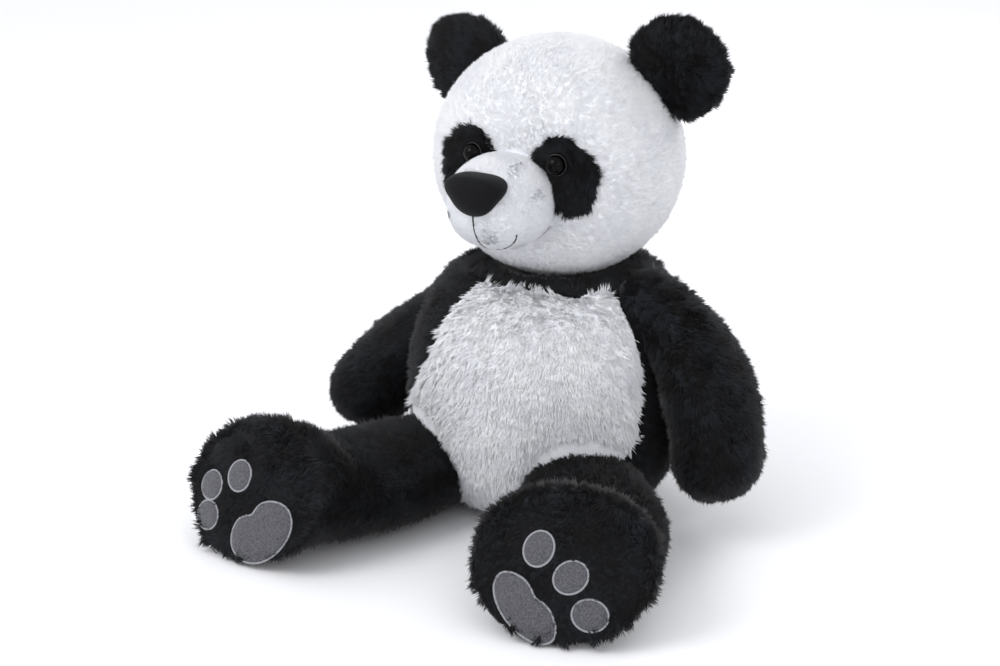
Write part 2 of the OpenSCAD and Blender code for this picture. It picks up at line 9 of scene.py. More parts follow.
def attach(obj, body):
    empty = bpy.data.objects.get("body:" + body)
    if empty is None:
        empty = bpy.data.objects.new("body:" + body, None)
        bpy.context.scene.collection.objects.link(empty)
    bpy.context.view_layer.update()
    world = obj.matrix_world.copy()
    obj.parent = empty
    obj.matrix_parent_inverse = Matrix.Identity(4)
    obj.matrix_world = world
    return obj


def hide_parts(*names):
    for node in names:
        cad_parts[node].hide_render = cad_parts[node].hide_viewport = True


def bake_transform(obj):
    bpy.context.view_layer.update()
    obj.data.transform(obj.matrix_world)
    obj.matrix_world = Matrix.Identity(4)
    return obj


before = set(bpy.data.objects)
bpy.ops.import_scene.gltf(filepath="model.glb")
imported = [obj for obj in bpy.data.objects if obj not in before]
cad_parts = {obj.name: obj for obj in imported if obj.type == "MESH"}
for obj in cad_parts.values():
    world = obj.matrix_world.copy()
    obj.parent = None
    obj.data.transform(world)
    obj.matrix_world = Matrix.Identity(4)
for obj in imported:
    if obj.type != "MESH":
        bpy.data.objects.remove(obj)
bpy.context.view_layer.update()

# ---------------------------------------------------------------- studio
# A pale matt sweep under large soft lamps, as for a catalogue picture of a white and black toy.
# The floor is painted board; it gives an even near-white ground with a soft contact shadow.


def linear(hex_colour):
    """A linear RGBA colour from an sRGB hex value."""
    parts = [int(hex_colour[k:k + 2], 16) / 255 for k in (1, 3, 5)]
    return (*[c / 12.92 if c <= 0.04045 else ((c + 0.055) / 1.055) ** 2.4 for c in parts], 1.0)


def add(material, kind, settings=(), links=()):
    """Adds a node to a material, sets its properties or inputs and links other nodes' outputs into it."""
    made = material.node_tree.nodes.new(kind)
    for key, value in dict(settings).items():
        if isinstance(key, str) and hasattr(made, key):
            setattr(made, key, value)
        else:
            made.inputs[key].default_value = value
    for key, (source, output) in dict(links).items():
        material.node_tree.links.new(source.outputs[output], made.inputs[key])
    return made


def new_material(name, colour, roughness, sheen=0.0, ior=1.5, specular=0.5):
    """A material with its shader's plain values set; returns it and the shader."""
    made = bpy.data.materials.new(name)
    made.use_nodes = True
    shader = made.node_tree.nodes["Principled BSDF"]
    shader.inputs["Base Color"].default_value = linear(colour)
    shader.inputs["Roughness"].default_value = roughness
    shader.inputs["IOR"].default_value = ior
    shader.inputs["Specular IOR Level"].default_value = specular
    shader.inputs["Sheen Weight"].default_value = sheen
    return made, shader


# Painted board: matt, with a tone that drifts slightly over half a metre.
board, shader = new_material("painted_board", "#f6f6f8", 0.9, specular=0.1)
where = add(board, "ShaderNodeNewGeometry")
cloud = add(board, "ShaderNodeTexNoise", {"Scale": 2.0, "Detail": 2.0}, {"Vector": (where, "Position")})
tone = add(board, "ShaderNodeMix", {"data_type": "RGBA", 6: linear("#f4f4f6"), 7: linear("#f8f8fa")},
           {0: (cloud, "Fac")})
board.node_tree.links.new(tone.outputs[2], shader.inputs["Base Color"])

floor_mesh = bpy.data.meshes.new("studio_floor")
reach = 30.0
floor_mesh.from_pydata([(-reach, -reach, -0.0005), (reach, -reach, -0.0005),
                        (reach, reach, -0.0005), (-reach, reach, -0.0005)], [], [(0, 1, 2, 3)])
floor_mesh.materials.append(board)
studio_floor = bpy.data.objects.new("studio_floor", floor_mesh)
bpy.context.collection.objects.link(studio_floor)

camera_azimuth, camera_height, camera_distance = math.radians(30.2), math.radians(19.1), 2.55
look_at = Vector((-0.0865, 0.137, 0.170))
away = Vector((math.sin(camera_azimuth) * math.cos(camera_height),
               -math.cos(camera_azimuth) * math.cos(camera_height), math.sin(camera_height)))
lens = bpy.data.cameras.new("camera")
lens.lens, lens.sensor_width = 76.5, 36.0
camera = bpy.data.objects.new("camera", lens)
camera.location = look_at + away * camera_distance
camera.rotation_euler = (-away).to_track_quat("-Z", "Y").to_euler()
bpy.context.collection.objects.link(camera)
bpy.context.scene.camera = camera

for name, place, size, watts in (
        ("key_lamp", (-1.1, -1.9, 2.3), 1.8, 31.0),
        ("fill_lamp", (2.2, -1.5, 1.4), 2.0, 8.0),
        ("back_lamp", (0.4, 2.3, 2.1), 1.8, 16.0)):
    lamp = bpy.data.lights.new(name, "AREA")
    lamp.shape, lamp.size, lamp.energy = "DISK", size, watts
    lamp_object = bpy.data.objects.new(name, lamp)
    lamp_object.location = place
    lamp_object.rotation_euler = (Vector((0, 0, 0.25)) - Vector(place)).to_track_quat("-Z", "Y").to_euler()
    bpy.context.collection.objects.link(lamp_object)
sky = bpy.data.worlds.new("studio_air")
bpy.context.scene.world = sky
sky.use_nodes = True
sky.node_tree.nodes["Background"].inputs["Color"].default_value = linear("#f7f8fb")
sky.node_tree.nodes["Background"].inputs["Strength"].default_value = 1.05
bpy.context.scene.view_settings.view_transform = "Standard"

# ---------------------------------------------------------------- torso
# A bag of knitted plush: white belly shield, black yoke, sides, back and seat, sewn inside out and
# stuffed with polyester fibre. Pressure rounds each panel and the seams stay drawn in.

MM = 0.001


def loft(rings):
    """Points and faces of a closed form through rings of points; a ring of one point closes an end."""
    points, faces, first = [], [], []
    for ring in rings:
        first.append(len(points))
        points.extend(ring)
    for low, high, a, b in zip(rings, rings[1:], first, first[1:]):
        n = max(len(low), len(high))
        for k in range(n):
            m = (k + 1) % n
            if len(low) == 1:
                faces.append((a, b + m, b + k))
            elif len(high) == 1:
                faces.append((a + k, a + m, b))
            else:
                faces.append((a + k, a + m, b + m, b + k))
    return np.array(points, float), faces


def ease(t):
    """Rises smoothly from 0 to 1."""
    t = np.clip(t, 0, 1)
    return t * t * (3 - 2 * t)


def make_piece(name, points, faces, materials):
    """A mesh object in the scene, smooth shaded."""
    mesh = bpy.data.meshes.new(name)
    mesh.from_pydata([tuple(p) for p in points], [], faces)
    mesh.shade_smooth()
    for material in materials:
        mesh.materials.append(material)
    piece = bpy.data.objects.new(name, mesh)
    bpy.context.collection.objects.link(piece)
    return piece


def read_points(mesh):
    """The mesh's points as an array."""
    flat = np.empty(len(mesh.vertices) * 3, np.float32)
    mesh.vertices.foreach_get("co", flat)
    return flat.reshape(-1, 3).astype(float)


def settle(piece):
    """The piece's mesh with its modifiers applied."""
    graph = bpy.context.evaluated_depsgraph_get()
    made = bpy.data.meshes.new_from_object(piece.evaluated_get(graph))
    piece.modifiers.clear()
    old, piece.data = piece.data, made
    made.name = piece.name
    bpy.data.meshes.remove(old)
    made.shade_smooth()


def stuff(piece, swell, stitched, voxel=6 * MM, pressure=4.0):
    """Fills a closed cover: even cloth, pressure inside, and stitched(points) from 0 to 1 holds the seams."""
    remesh = piece.modifiers.new("even_cloth", "REMESH")
    remesh.mode, remesh.voxel_size = "VOXEL", voxel
    settle(piece)
    before = read_points(piece.data)
    held = stitched(before)
    pins = piece.vertex_groups.new(name="stitched")
    for k, weight in enumerate(held):
        if weight > 0.02:
            pins.add([k], float(weight), "REPLACE")
    cloth = piece.modifiers.new("filling", "CLOTH")
    cloth.settings.vertex_group_mass = "stitched"
    cloth.settings.use_pressure = True
    cloth.settings.uniform_pressure_force = pressure
    cloth.settings.effector_weights.gravity = 0
    cloth.settings.quality = 4
    cloth.collision_settings.use_collision = False
    for moment in range(1, 21):
        bpy.context.scene.frame_set(moment)
    graph = bpy.context.evaluated_depsgraph_get()
    filled = piece.evaluated_get(graph).to_mesh()
    after = read_points(filled)
    piece.evaluated_get(graph).to_mesh_clear()
    piece.modifiers.clear()
    piece.vertex_groups.clear()
    bpy.context.scene.frame_set(1)
    move = after - before
    length = np.linalg.norm(move, axis=1, keepdims=True)
    after = before + move * np.minimum(1, swell / np.maximum(length, 1e-9))
    piece.data.vertices.foreach_set("co", after.astype(np.float32).ravel())
    soft = piece.modifiers.new("soft", "SMOOTH")
    soft.factor, soft.iterations = 0.5, 3
    finer = piece.modifiers.new("finer", "SUBSURF")
    finer.levels = finer.render_levels = 1
    settle(piece)


def drift(points, scale, seed):
    """Smooth noise, mostly from -1 to 1, that changes over about that many metres."""
    draw = np.random.default_rng(seed)
    total = np.zeros(len(points))
    for _ in range(7):
        way = draw.normal(size=3)
        way *= 2 * math.pi * draw.uniform(0.6, 1.5) / scale / np.linalg.norm(way)
        total += np.sin(points @ way + draw.uniform(0, 6.3))
    return total / 2.6


def unit(v):
    """Vectors made one long."""
    return v / np.maximum(np.linalg.norm(v, axis=-1, keepdims=True), 1e-12)


def pile(name, skin, tones, count, length, width, lean, brushed, seed,
         ragged=0.25, clump=9 * MM, keep=None, shade=0.25, sink=1.5 * MM, swirl=0.4):
    """Brushed pile: closed four-sided tufts that stand in the skin and lean the way they are brushed.

    ragged varies their length, clump is how wide the locks are that they gather into, and swirl how far
    the brushing wanders. shade tips their shading off the skin's, and sink roots them in the backing.
    keep(points, margin) chooses where they grow.
    """
    draw = np.random.default_rng(seed)
    mesh = skin.data
    mesh.calc_loop_triangles()
    corners = np.empty(len(mesh.loop_triangles) * 3, np.int32)
    mesh.loop_triangles.foreach_get("vertices", corners)
    corners = corners.reshape(-1, 3)
    points = read_points(mesh)
    normals = np.empty(len(points) * 3, np.float32)
    mesh.vertex_normals.foreach_get("vector", normals)
    normals = normals.reshape(-1, 3).astype(float)
    a, b, c = (points[corners[:, k]] for k in range(3))
    area = np.linalg.norm(np.cross(b - a, c - a), axis=1)
    if keep is not None:
        area = area * keep((a + b + c) / 3, 6 * MM)
    chosen = draw.choice(len(corners), count, p=area / area.sum())
    u, v = draw.random((2, count))
    over = u + v > 1
    u[over], v[over] = 1 - u[over], 1 - v[over]
    w = 1 - u - v
    mix = (w[:, None], u[:, None], v[:, None])
    root = sum(m * points[corners[chosen, k]] for k, m in enumerate(mix))
    out = unit(sum(m * normals[corners[chosen, k]] for k, m in enumerate(mix)))
    if keep is not None:
        kept = keep(root, 0.0)
        root, out = root[kept], out[kept]
    n = len(root)
    along = brushed(root, out)
    along = along + swirl * np.stack([drift(root, 45 * MM, seed + k) for k in (1, 2, 3)], 1)
    along = unit(along - out * np.sum(along * out, 1, keepdims=True))
    cell = np.floor(root / clump + 0.35 * np.stack([drift(root, 3 * clump, seed + k) for k in (4, 5, 6)], 1))
    _, cell = np.unique(cell.astype(int), axis=0, return_inverse=True)
    cell = cell.ravel()
    members = np.bincount(cell)
    middle = np.stack([np.bincount(cell, root[:, k]) / members for k in range(3)], 1)[cell]
    lock = draw.normal(size=(len(members), 4))[cell]
    way = (out * math.cos(lean) + along * math.sin(lean) + 0.16 * lock[:, :3]
           + 0.16 * draw.normal(size=(n, 3)))
    way = unit(way + out * np.maximum(0.25 - np.sum(unit(way) * out, 1, keepdims=True), 0))
    reach = length * (1 + ragged * (0.5 * lock[:, 3] + 0.5 * draw.normal(size=n)))
    reach = np.clip(reach, 0.4 * length, 1.7 * length)
    tip = root + way * reach[:, None] + 0.35 * (middle - root)
    way = unit(tip - root)
    across = unit(np.cross(out, way))
    ridge = np.cross(way, across)
    wide = width * draw.uniform(0.7, 1.3, n)[:, None]
    tip[:, 2] = np.maximum(tip[:, 2], 0.3 * MM)  # pile is pressed flat where it meets the floor
    foot = root - out * sink
    corner = np.stack([foot - across * wide / 2, foot + across * wide / 2, foot + ridge * wide * 0.45, tip], 1)
    facing = np.stack([out - across * shade, out + across * shade, out + ridge * 0.1, out + way * shade], 1)
    turns = np.array([[0, 2, 1], [0, 1, 3], [1, 2, 3], [2, 0, 3]])
    made = bpy.data.meshes.new(name)
    made.vertices.add(4 * n)
    made.vertices.foreach_set("co", corner.astype(np.float32).ravel())
    index = (np.arange(n)[:, None, None] * 4 + turns[None]).astype(np.int32)
    made.loops.add(12 * n)
    made.loops.foreach_set("vertex_index", index.ravel())
    made.polygons.add(4 * n)
    made.polygons.foreach_set("loop_start", np.arange(0, 12 * n, 3, dtype=np.int32))
    made.update(calc_edges=True)
    made.shade_smooth()
    for tone in tones:
        made.materials.append(tone)
    level = 0.5 + 0.3 * drift(root, 60 * MM, seed + 7) + 0.28 * lock[:, 0] + 0.2 * draw.normal(size=n)
    pick = np.clip((level * len(tones)).astype(int), 0, len(tones) - 1)
    made.polygons.foreach_set("material_index", np.repeat(pick, 4).astype(np.int32))
    made.normals_split_custom_set_from_vertices(unit(facing).reshape(-1, 3).tolist())
    made.validate()
    piece = bpy.data.objects.new(name, made)
    bpy.context.collection.objects.link(piece)
    return piece


def plush_tones(name, colours, roughness, sheen):
    """One material for each tone of a dyed pile; a tuft takes one of them."""
    made = []
    for k, colour in enumerate(colours):
        material, shader = new_material(f"{name}_tone_{k + 1}", colour, roughness, sheen, specular=0.2)
        shader.inputs["Sheen Roughness"].default_value = 0.5
        made.append(material)
    return made


def knit_backing(name, low, high, roughness):
    """Knitted backing cloth between the tufts: 1.6 mm stitches, drawn at 2.4 mm so that they show."""
    material, shader = new_material(name, high, roughness, 0.2, specular=0.15)
    where = add(material, "ShaderNodeTexCoord")
    stitches = add(material, "ShaderNodeTexVoronoi", {"Scale": 1 / (2.4 * MM)}, {"Vector": (where, "Object")})
    cloud = add(material, "ShaderNodeTexNoise", {"Scale": 40.0, "Detail": 3.0}, {"Vector": (where, "Object")})
    tone = add(material, "ShaderNodeMix", {"data_type": "RGBA", 6: linear(low), 7: linear(high)},
               {0: (cloud, "Fac")})
    bump = add(material, "ShaderNodeBump", {"Strength": 0.4, "Distance": 0.6 * MM},
               {"Height": (stitches, "Distance")})
    material.node_tree.links.new(tone.outputs[2], shader.inputs["Base Color"])
    material.node_tree.links.new(bump.outputs["Normal"], shader.inputs["Normal"])
    return material


# Dyed acrylic plush: matt fibres whose sheen lifts the edges; black is never quite black. Tufts are drawn
# 2 mm wide, much coarser than fibres, so that they show.
white_pile = plush_tones("white_acrylic_plush", ("#f1f2f7", "#f6f7fb", "#fbfcfe"), 0.85, 0.2)
black_pile = plush_tones("black_acrylic_plush", ("#08080a", "#0c0d10", "#131418", "#1c1e23"), 0.7, 0.12)
white_knit = knit_backing("white_knit_backing", "#eceef4", "#f6f7fa", 0.9)
black_knit = knit_backing("black_knit_backing", "#08080a", "#101114", 0.9)

belly_mid, neck_mid, fullest_z = 91.0, 119.0, 125.0
torso_half_w, torso_half_d = 160.0, 141.0
yoke_z, rim_z = 275.0, 286.0


def torso_girth(z):
    """Share of the full girth at a height in millimetres."""
    low = (1 - (np.clip(fullest_z - z, 0, 130) / 131) ** 3.0) ** (1 / 3.0)
    high = (1 - (np.clip(z - fullest_z, 0, 200) / 203) ** 2.4) ** (1 / 2.4)
    return np.where(z < fullest_z, low, high)


def torso_mid(z):
    """How far back the middle of the torso lies at a height."""
    return belly_mid + (neck_mid - belly_mid) * ease((z - 150) / 140)


def torso_ring(z, share=1.0, n=96):
    """A ring of the torso. Near the rim it lies lower than its height says, most of all under the chin."""
    turn = np.arange(n) * 2 * math.pi / n
    w = torso_half_w * torso_girth(z) * share
    d = torso_half_d * torso_girth(z) * share * (1 + 0.1 * ease((z - 150) / 140))
    drop = 9 * float(ease((z - 235) / 50))
    return [(w * math.sin(t) * MM, (torso_mid(z) - d * math.cos(t)) * MM,
             (z - drop * (1.1 + 0.6 * math.cos(t))) * MM) for t in turn]


def bowl_ring(radius, z, n=96):
    """A ring of the hollow on top of the torso, which the head sits in."""
    turn = np.arange(n) * 2 * math.pi / n
    return [(radius * math.sin(t) * MM, (neck_mid - radius * math.cos(t)) * MM, z * MM) for t in turn]


def around(points):
    """Degrees round the torso from the front towards its left, and the height in millimetres."""
    z = points[:, 2] / MM
    return np.degrees(np.arctan2(points[:, 0] / MM, torso_mid(z) - points[:, 1] / MM)), z


def belly_edges(z):
    """Degrees of the belly shield's two edges at a height."""
    middle = -6 + 24 * ease((z - 40) / 170)
    low = 4 + 62 * np.sqrt(np.clip(1 - ((120 - np.minimum(z, 120)) / 118) ** 2, 0, 1))
    high = 66 - 21 * (np.clip(z - 120, 0, 155) / 154) ** 0.8
    half = np.where(z < 120, low, high)
    return middle - half, middle + half


def panel_of(points):
    """0 seat, 1 belly, 2 yoke, 3 left side, 4 right side, 5 left back, 6 right back."""
    degrees, z = around(points)
    right, left = belly_edges(z)
    scallop = 1.6 * drift(points, 40 * MM, 21) - 4
    panel = np.where(degrees > 0, 5, 6)
    panel = np.where(np.abs(degrees) < 100, np.where(degrees > 0, 3, 4), panel)
    panel = np.where((np.abs(degrees) < 100) & (z > yoke_z + scallop), 2, panel)
    panel = np.where((degrees > right) & (degrees < left) & (z <= yoke_z + scallop), 1, panel)
    return np.where((z < 9) & (np.hypot(points[:, 0], points[:, 1] - belly_mid * MM) < 86 * MM), 0, panel)


def torso_seams(points):
    """1 on a seam of the torso, falling to 0 within 8 mm of it."""
    degrees, z = around(points)
    right, left = belly_edges(z)
    girth = 2.7
    gaps = [np.where(z < yoke_z, np.abs(degrees - right), 99) * girth,
            np.where(z < yoke_z, np.abs(degrees - left), 99) * girth,
            np.abs(np.abs(degrees) - 100) * girth, (180 - np.abs(degrees)) * girth,
            np.where(np.abs(degrees) < 100, np.abs(z - yoke_z), 99), z - 4, np.abs(z - rim_z)]
    return 1 - ease(np.min(gaps, axis=0) / 8)


rings = [[(0, belly_mid * MM, 3 * MM)], torso_ring(3.0, 0.5), torso_ring(3.0, 0.92), torso_ring(5.0, 0.98)]
rings += [torso_ring(z) for z in (9.0, 16.0, 26.0, 40.0, 60.0, 85.0, 110.0, 125.0, 145.0, 170.0, 195.0,
                                  218.0, 238.0, 254.0, 266.0, 275.0)]
rings += [torso_ring(281.0, 0.985), torso_ring(285.0, 0.95), torso_ring(rim_z, 0.88), bowl_ring(74, 280),
          bowl_ring(48, 270), bowl_ring(24, 264), [(0, neck_mid * MM, 262 * MM)]]
torso_cover = make_piece("torso_cover", *loft(rings), [black_knit, white_knit])
stuff(torso_cover, 6 * MM, torso_seams)

faces = torso_cover.data.polygons
centres = np.empty(len(faces) * 3, np.float32)
faces.foreach_get("center", centres)
white = (panel_of(centres.reshape(-1, 3).astype(float)) == 1).astype(np.int32)
faces.foreach_set("material_index", white)
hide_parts("belly_panel", "chest_yoke", "side_panel_left", "side_panel_right",
            "back_panel_left", "back_panel_right", "seat_panel", "torso_stuffing")
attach(torso_cover, "torso")


def within_torso(points, share):
    """True inside the torso's outline at a point's height, drawn in to a share of its size."""
    _, z = around(points)
    girth = torso_girth(z) * MM
    return np.hypot(points[:, 0] / (torso_half_w * girth + 1e-9),
                    (points[:, 1] - torso_mid(z) * MM) / (torso_half_d * girth + 1e-9)) < share


def limb_share(points, line, half):
    """How far out a point lies from a limb's middle line, as a share of its half size; under 1 is inside."""
    best = np.full(len(points), 9.0)
    for middle, size in zip(line, half):
        best = np.minimum(best, np.linalg.norm((points - middle * MM) / (np.array(size) * MM), axis=1))
    return best


# The limbs' middle lines are needed here, so that no pile grows where a limb is sewn on.
hip, ankle_end = np.array([92.0, 15.0, 68.0]), np.array([190.0, -223.0, 73.0])
shoulders = {"left": np.array([132.0, 99.0, 248.0]), "right": np.array([-101.0, 103.0, 215.0])}
elbows = {"left": np.array([217.0, 101.0, 206.0]), "right": np.array([-180.0, 108.0, 166.0])}
paws = {"left": np.array([226.0, 87.0, 88.0]), "right": np.array([-236.0, 82.0, 90.0])}
SIDES = {"left": 1, "right": -1}


def arm_middle(t, side):
    """Points of an arm's middle line, from shoulder to paw."""
    t = np.asarray(t, float)[..., None]
    return shoulders[side] * (1 - t) ** 2 + elbows[side] * 2 * t * (1 - t) + paws[side] * t ** 2


def clear_of_limbs(points, margin):
    """True outside the sewn-on ends of the limbs."""
    clear = np.ones(len(points), bool)
    for side, sign in SIDES.items():
        flip = np.array([sign, 1, 1])
        steps = np.linspace(0, 0.75, 12)
        thigh = [hip * flip + (ankle_end - hip) * flip * t for t in steps]
        upper_arm = arm_middle(np.linspace(0, 0.5, 9), side)
        clear &= limb_share(points, thigh, [(62, 62, 58)] * 12) > 1 - margin * 20
        clear &= limb_share(points, upper_arm, [(42, 48, 42)] * 9) > 1 - margin * 20
    return clear


def torso_panel(number):
    """Chooses the points of one torso panel where pile grows."""
    def chosen(points, margin):
        inside = panel_of(points) == number if margin == 0 else np.ones(len(points), bool)
        _, z = around(points)
        bowl = (z > 258) & (np.hypot(points[:, 0], points[:, 1] - neck_mid * MM) < 76 * MM)
        return inside & clear_of_limbs(points, margin) & ~bowl & (z > 5)
    return chosen


def brushed_down(points, out):
    """Pile brushed downwards."""
    return np.tile((0.0, 0.0, -1.0), (len(points), 1))


def brushed_over_neck(points, out):
    """Pile brushed down the chest and the back, but in towards the head where it closes over the neck seam."""
    to_neck = np.array([0, neck_mid * MM, 0]) - points * (1, 1, 0)
    near = np.linalg.norm(to_neck, axis=1, keepdims=True) < 112 * MM
    rim = ease((points[:, 2:] - 268 * MM) / (8 * MM)) * near
    return brushed_down(points, out) * (1 - rim) + unit(to_neck) * rim


for number, name, tones, count, length, slot in (
        (1, "belly_panel_pile", white_pile, 120000, 9.0, "white_plush"),
        (2, "chest_yoke_pile", black_pile, 120000, 8.5, "black_plush"),
        (3, "side_panel_left_pile", black_pile, 90000, 8.5, "black_plush"),
        (4, "side_panel_right_pile", black_pile, 90000, 8.5, "black_plush"),
        (5, "back_panel_left_pile", black_pile, 110000, 9.0, "black_plush"),
        (6, "back_panel_right_pile", black_pile, 110000, 9.0, "black_plush")):
    grown = pile(name, torso_cover, tones, count, length * MM, 2.1 * MM, math.radians(52), brushed_over_neck,
                 100 + number, ragged=0.3, keep=torso_panel(number), shade=0.1 if number == 1 else 0.25,
                 swirl=0.15 if number == 1 else 0.4)  # the belly is brushed smoother than the black
    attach(grown, "torso")

# ---------------------------------------------------------------- head
# Two white plush panels sewn over a round stuffed ball, joined to the torso by a drawn neck seam.
# The pile is shorter and denser than the belly's, so the outline is smooth with a fine fuzz.

head_middle, head_half = np.array([0.0, 121.0, 405.0]), np.array([145.5, 139.5, 137.5])


def face(reach):
    """The face is flattened: how far forward the skin stands where a round head would stand at reach."""
    return reach / (1 + (np.maximum(reach, 0) / 0.73) ** 5) ** 0.2


def round_form(middle, half, front=lambda reach: reach, power=2.0, n=72):
    """Points and faces of a round closed form about a middle, in metres, its front shaped by a function."""
    rings = [[tuple((middle - (0, 0, half[2])) * MM)]]
    for k in range(1, 36):
        tilt = math.pi * (k / 36 - 0.5)
        ring = []
        for t in np.arange(n) * 2 * math.pi / n:
            way = np.array([math.cos(tilt) * math.sin(t), math.cos(tilt) * math.cos(t), math.sin(tilt)])
            way = way / np.sum(np.abs(way) ** power) ** (1 / power)
            ring.append(tuple((middle + half * (way[0], -front(way[1]), way[2])) * MM))
        rings.append(ring)
    rings.append([tuple((middle + (0, 0, half[2])) * MM)])
    return loft(rings)


def head_way(points):
    """Directions out of the head's middle, as they would be if the face were round."""
    away = (points / MM - head_middle) / (head_half + 2)
    size = np.minimum(np.hypot(away[:, 0], away[:, 2]), 0.999)
    away[:, 1] = np.where(away[:, 1] < 0, -np.sqrt(1 - size ** 2), away[:, 1])
    return unit(away)


# The filling sits a little to the head's right, and the nose and mouth go with it.
muzzle_x = -6.0
muzzle_middle, muzzle_half = np.array([muzzle_x, 6.0, 378.0]), np.array([59.0, 68.0, 54.0])


def share_of(points, middle, half):
    """How far out a point lies in a round form, as a share; 1 is its surface."""
    return np.linalg.norm((points / MM - middle) / half, axis=1)


def head_seams(points):
    """1 on the head's middle seam behind the crown and round the muzzle, falling to 0."""
    x, y, z = (points / MM).T
    crown = np.where(y > 60, np.abs(x), 99)
    muzzle_ring = np.abs(share_of(points, muzzle_middle, muzzle_half) - 1) * 55
    neck = np.where(z < 330, np.abs(np.hypot(x, y - 121) - 78), 99)
    return 1 - ease(np.minimum(np.minimum(crown, neck), np.where(y < 40, muzzle_ring, 99)) / 8)


head_cover = make_piece("head_cover", *round_form(head_middle, head_half - 3, face), [white_knit])
stuff(head_cover, 5 * MM, head_seams)
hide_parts("head_panel_left", "head_panel_right", "head_stuffing")
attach(head_cover, "head")

patch_across, patch_forward, patch_up = {1: 61.0, -1: 67.0}, -128.0, 5.0
patch_half_w, patch_half_h, patch_lean = {1: 37.0, -1: 31.0}, 45.0, math.radians(24)


def patch_centre(sign):
    """Direction from the head's middle to an eye patch's middle. Its right patch is cut narrower."""
    return unit(np.array([patch_across[sign] * sign / 148, patch_forward / 142, patch_up / 137]))


def patch_place(points, sign):
    """Place on an eye patch, across and up, in millimetres from its middle."""
    centre = patch_centre(sign)
    away = head_way(points)
    east = unit(np.cross((0, 0, 1), centre) * sign)
    north = unit(np.cross(centre, np.cross((0, 0, 1), centre)))
    p, q = away @ east * 142, away @ north * 142
    behind = away @ centre < 0.3
    lean = patch_lean
    across = np.where(behind, 999, p * math.cos(lean) + q * math.sin(lean))
    return across, -p * math.sin(lean) + q * math.cos(lean)


def on_patch(points, grow=0.0):
    """True on either eye patch, whose edge is a little uneven."""
    inside = np.zeros(len(points), bool)
    for sign in (1, -1):
        across, up = patch_place(points, sign)
        edge = 1 + 0.03 * drift(points, 22 * MM, 31)
        inside |= np.hypot(across / (patch_half_w[sign] + grow), up / (patch_half_h + grow)) < edge
    return inside


def head_pile_place(half_sign):
    """Chooses the points of one head panel where pile grows."""
    def chosen(points, margin):
        clear = share_of(points, muzzle_middle, muzzle_half) > 1.0 - margin * 20
        if margin == 0:
            clear &= points[:, 0] * half_sign >= 0
            clear &= ~on_patch(points, -2.0)
        return clear & (points[:, 2] > 0.272)
    return chosen


def brushed_back(points, out):
    """Pile on the head brushed away from the muzzle, and turned down at the back."""
    away = unit(points - muzzle_middle * MM)
    away = unit(away - out * np.sum(away * out, 1, keepdims=True))
    return away + np.array([0, 0, -1.6]) * ease((points[:, 1:2] - 0.14) / 0.08)


for name, sign in SIDES.items():
    grown = pile(f"head_panel_{name}_pile", head_cover, white_pile, 102000, 6.0 * MM, 1.7 * MM,
                 math.radians(48), brushed_back, 200 + sign, ragged=0.15, clump=5 * MM,
                 keep=head_pile_place(sign), shade=0.12, swirl=0.15)
    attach(grown, "head")

# ---------------------------------------------------------------- muzzle
# A cup of short-pile white velboa, stuffed firmly and sewn to the face. Its 2 mm pile lies flat, so the
# cloth looks smooth and soft, with a crease where the mouth is embroidered through it.

mouth_low = 331.0


def smile(share):
    """Across and height of the smile's curve, share from -1 to 1."""
    turn = math.radians(80) * share
    return 41 * math.sin(turn), mouth_low + 29 * (1 - math.cos(turn))


def muzzle_seams(points):
    """1 where the muzzle is sewn to the face or stitched through, falling to 0."""
    x, y, z = (points / MM).T
    x = x - muzzle_x
    front = y < -20
    line = np.where(front & (z > mouth_low - 4) & (z < 392), np.abs(x), 99)
    lip = np.where(front & (np.abs(x) < 40), np.abs(z - (mouth_low + 29 * (1 - np.sqrt(
        np.clip(1 - (x / 41) ** 2, 0, 1))))), 99)
    edge = np.abs(share_of(points, head_middle, head_half) - 1) * 140
    return 1 - ease(np.minimum(np.minimum(line, lip), edge) / 6)


# Velboa: brushed knitted polyester; its 1.5 mm pile gives a soft sheen and a fine grain.
velboa_white, shader = new_material("white_velboa_brushed", "#e8eaf0", 0.85, 0.2, specular=0.15)
where = add(velboa_white, "ShaderNodeTexCoord")
grain = add(velboa_white, "ShaderNodeTexNoise", {"Scale": 1 / (1.5 * MM), "Detail": 3.0},
            {"Vector": (where, "Object")})
cloud = add(velboa_white, "ShaderNodeTexNoise", {"Scale": 45.0, "Detail": 3.0}, {"Vector": (where, "Object")})
tone = add(velboa_white, "ShaderNodeMix", {"data_type": "RGBA", 6: linear("#e6e8ee"), 7: linear("#eceef3")},
           {0: (cloud, "Fac")})
bump = add(velboa_white, "ShaderNodeBump", {"Strength": 0.5, "Distance": 0.5 * MM}, {"Height": (grain, "Fac")})
velboa_white.node_tree.links.new(tone.outputs[2], shader.inputs["Base Color"])
velboa_white.node_tree.links.new(bump.outputs["Normal"], shader.inputs["Normal"])

muzzle_form = round_form(muzzle_middle, muzzle_half - 3, power=2.3)
muzzle_cover = make_piece("muzzle_cover", *muzzle_form, [velboa_white])
stuff(muzzle_cover, 4 * MM, muzzle_seams, voxel=4 * MM)
short_tones = plush_tones("white_velboa_short", ("#eaecf1", "#edeef3", "#f0f1f5"), 0.85, 0.15)


def muzzle_pile_place(points, margin):
    """Chooses the muzzle's points in front of the face."""
    return (points[:, 1] < 0.045) & (share_of(points, head_middle, head_half) > 0.75)


def muzzle_brushed(points, out):
    """Short pile brushed back from the nose."""
    return points - np.array([0, -0.06, 0.40])


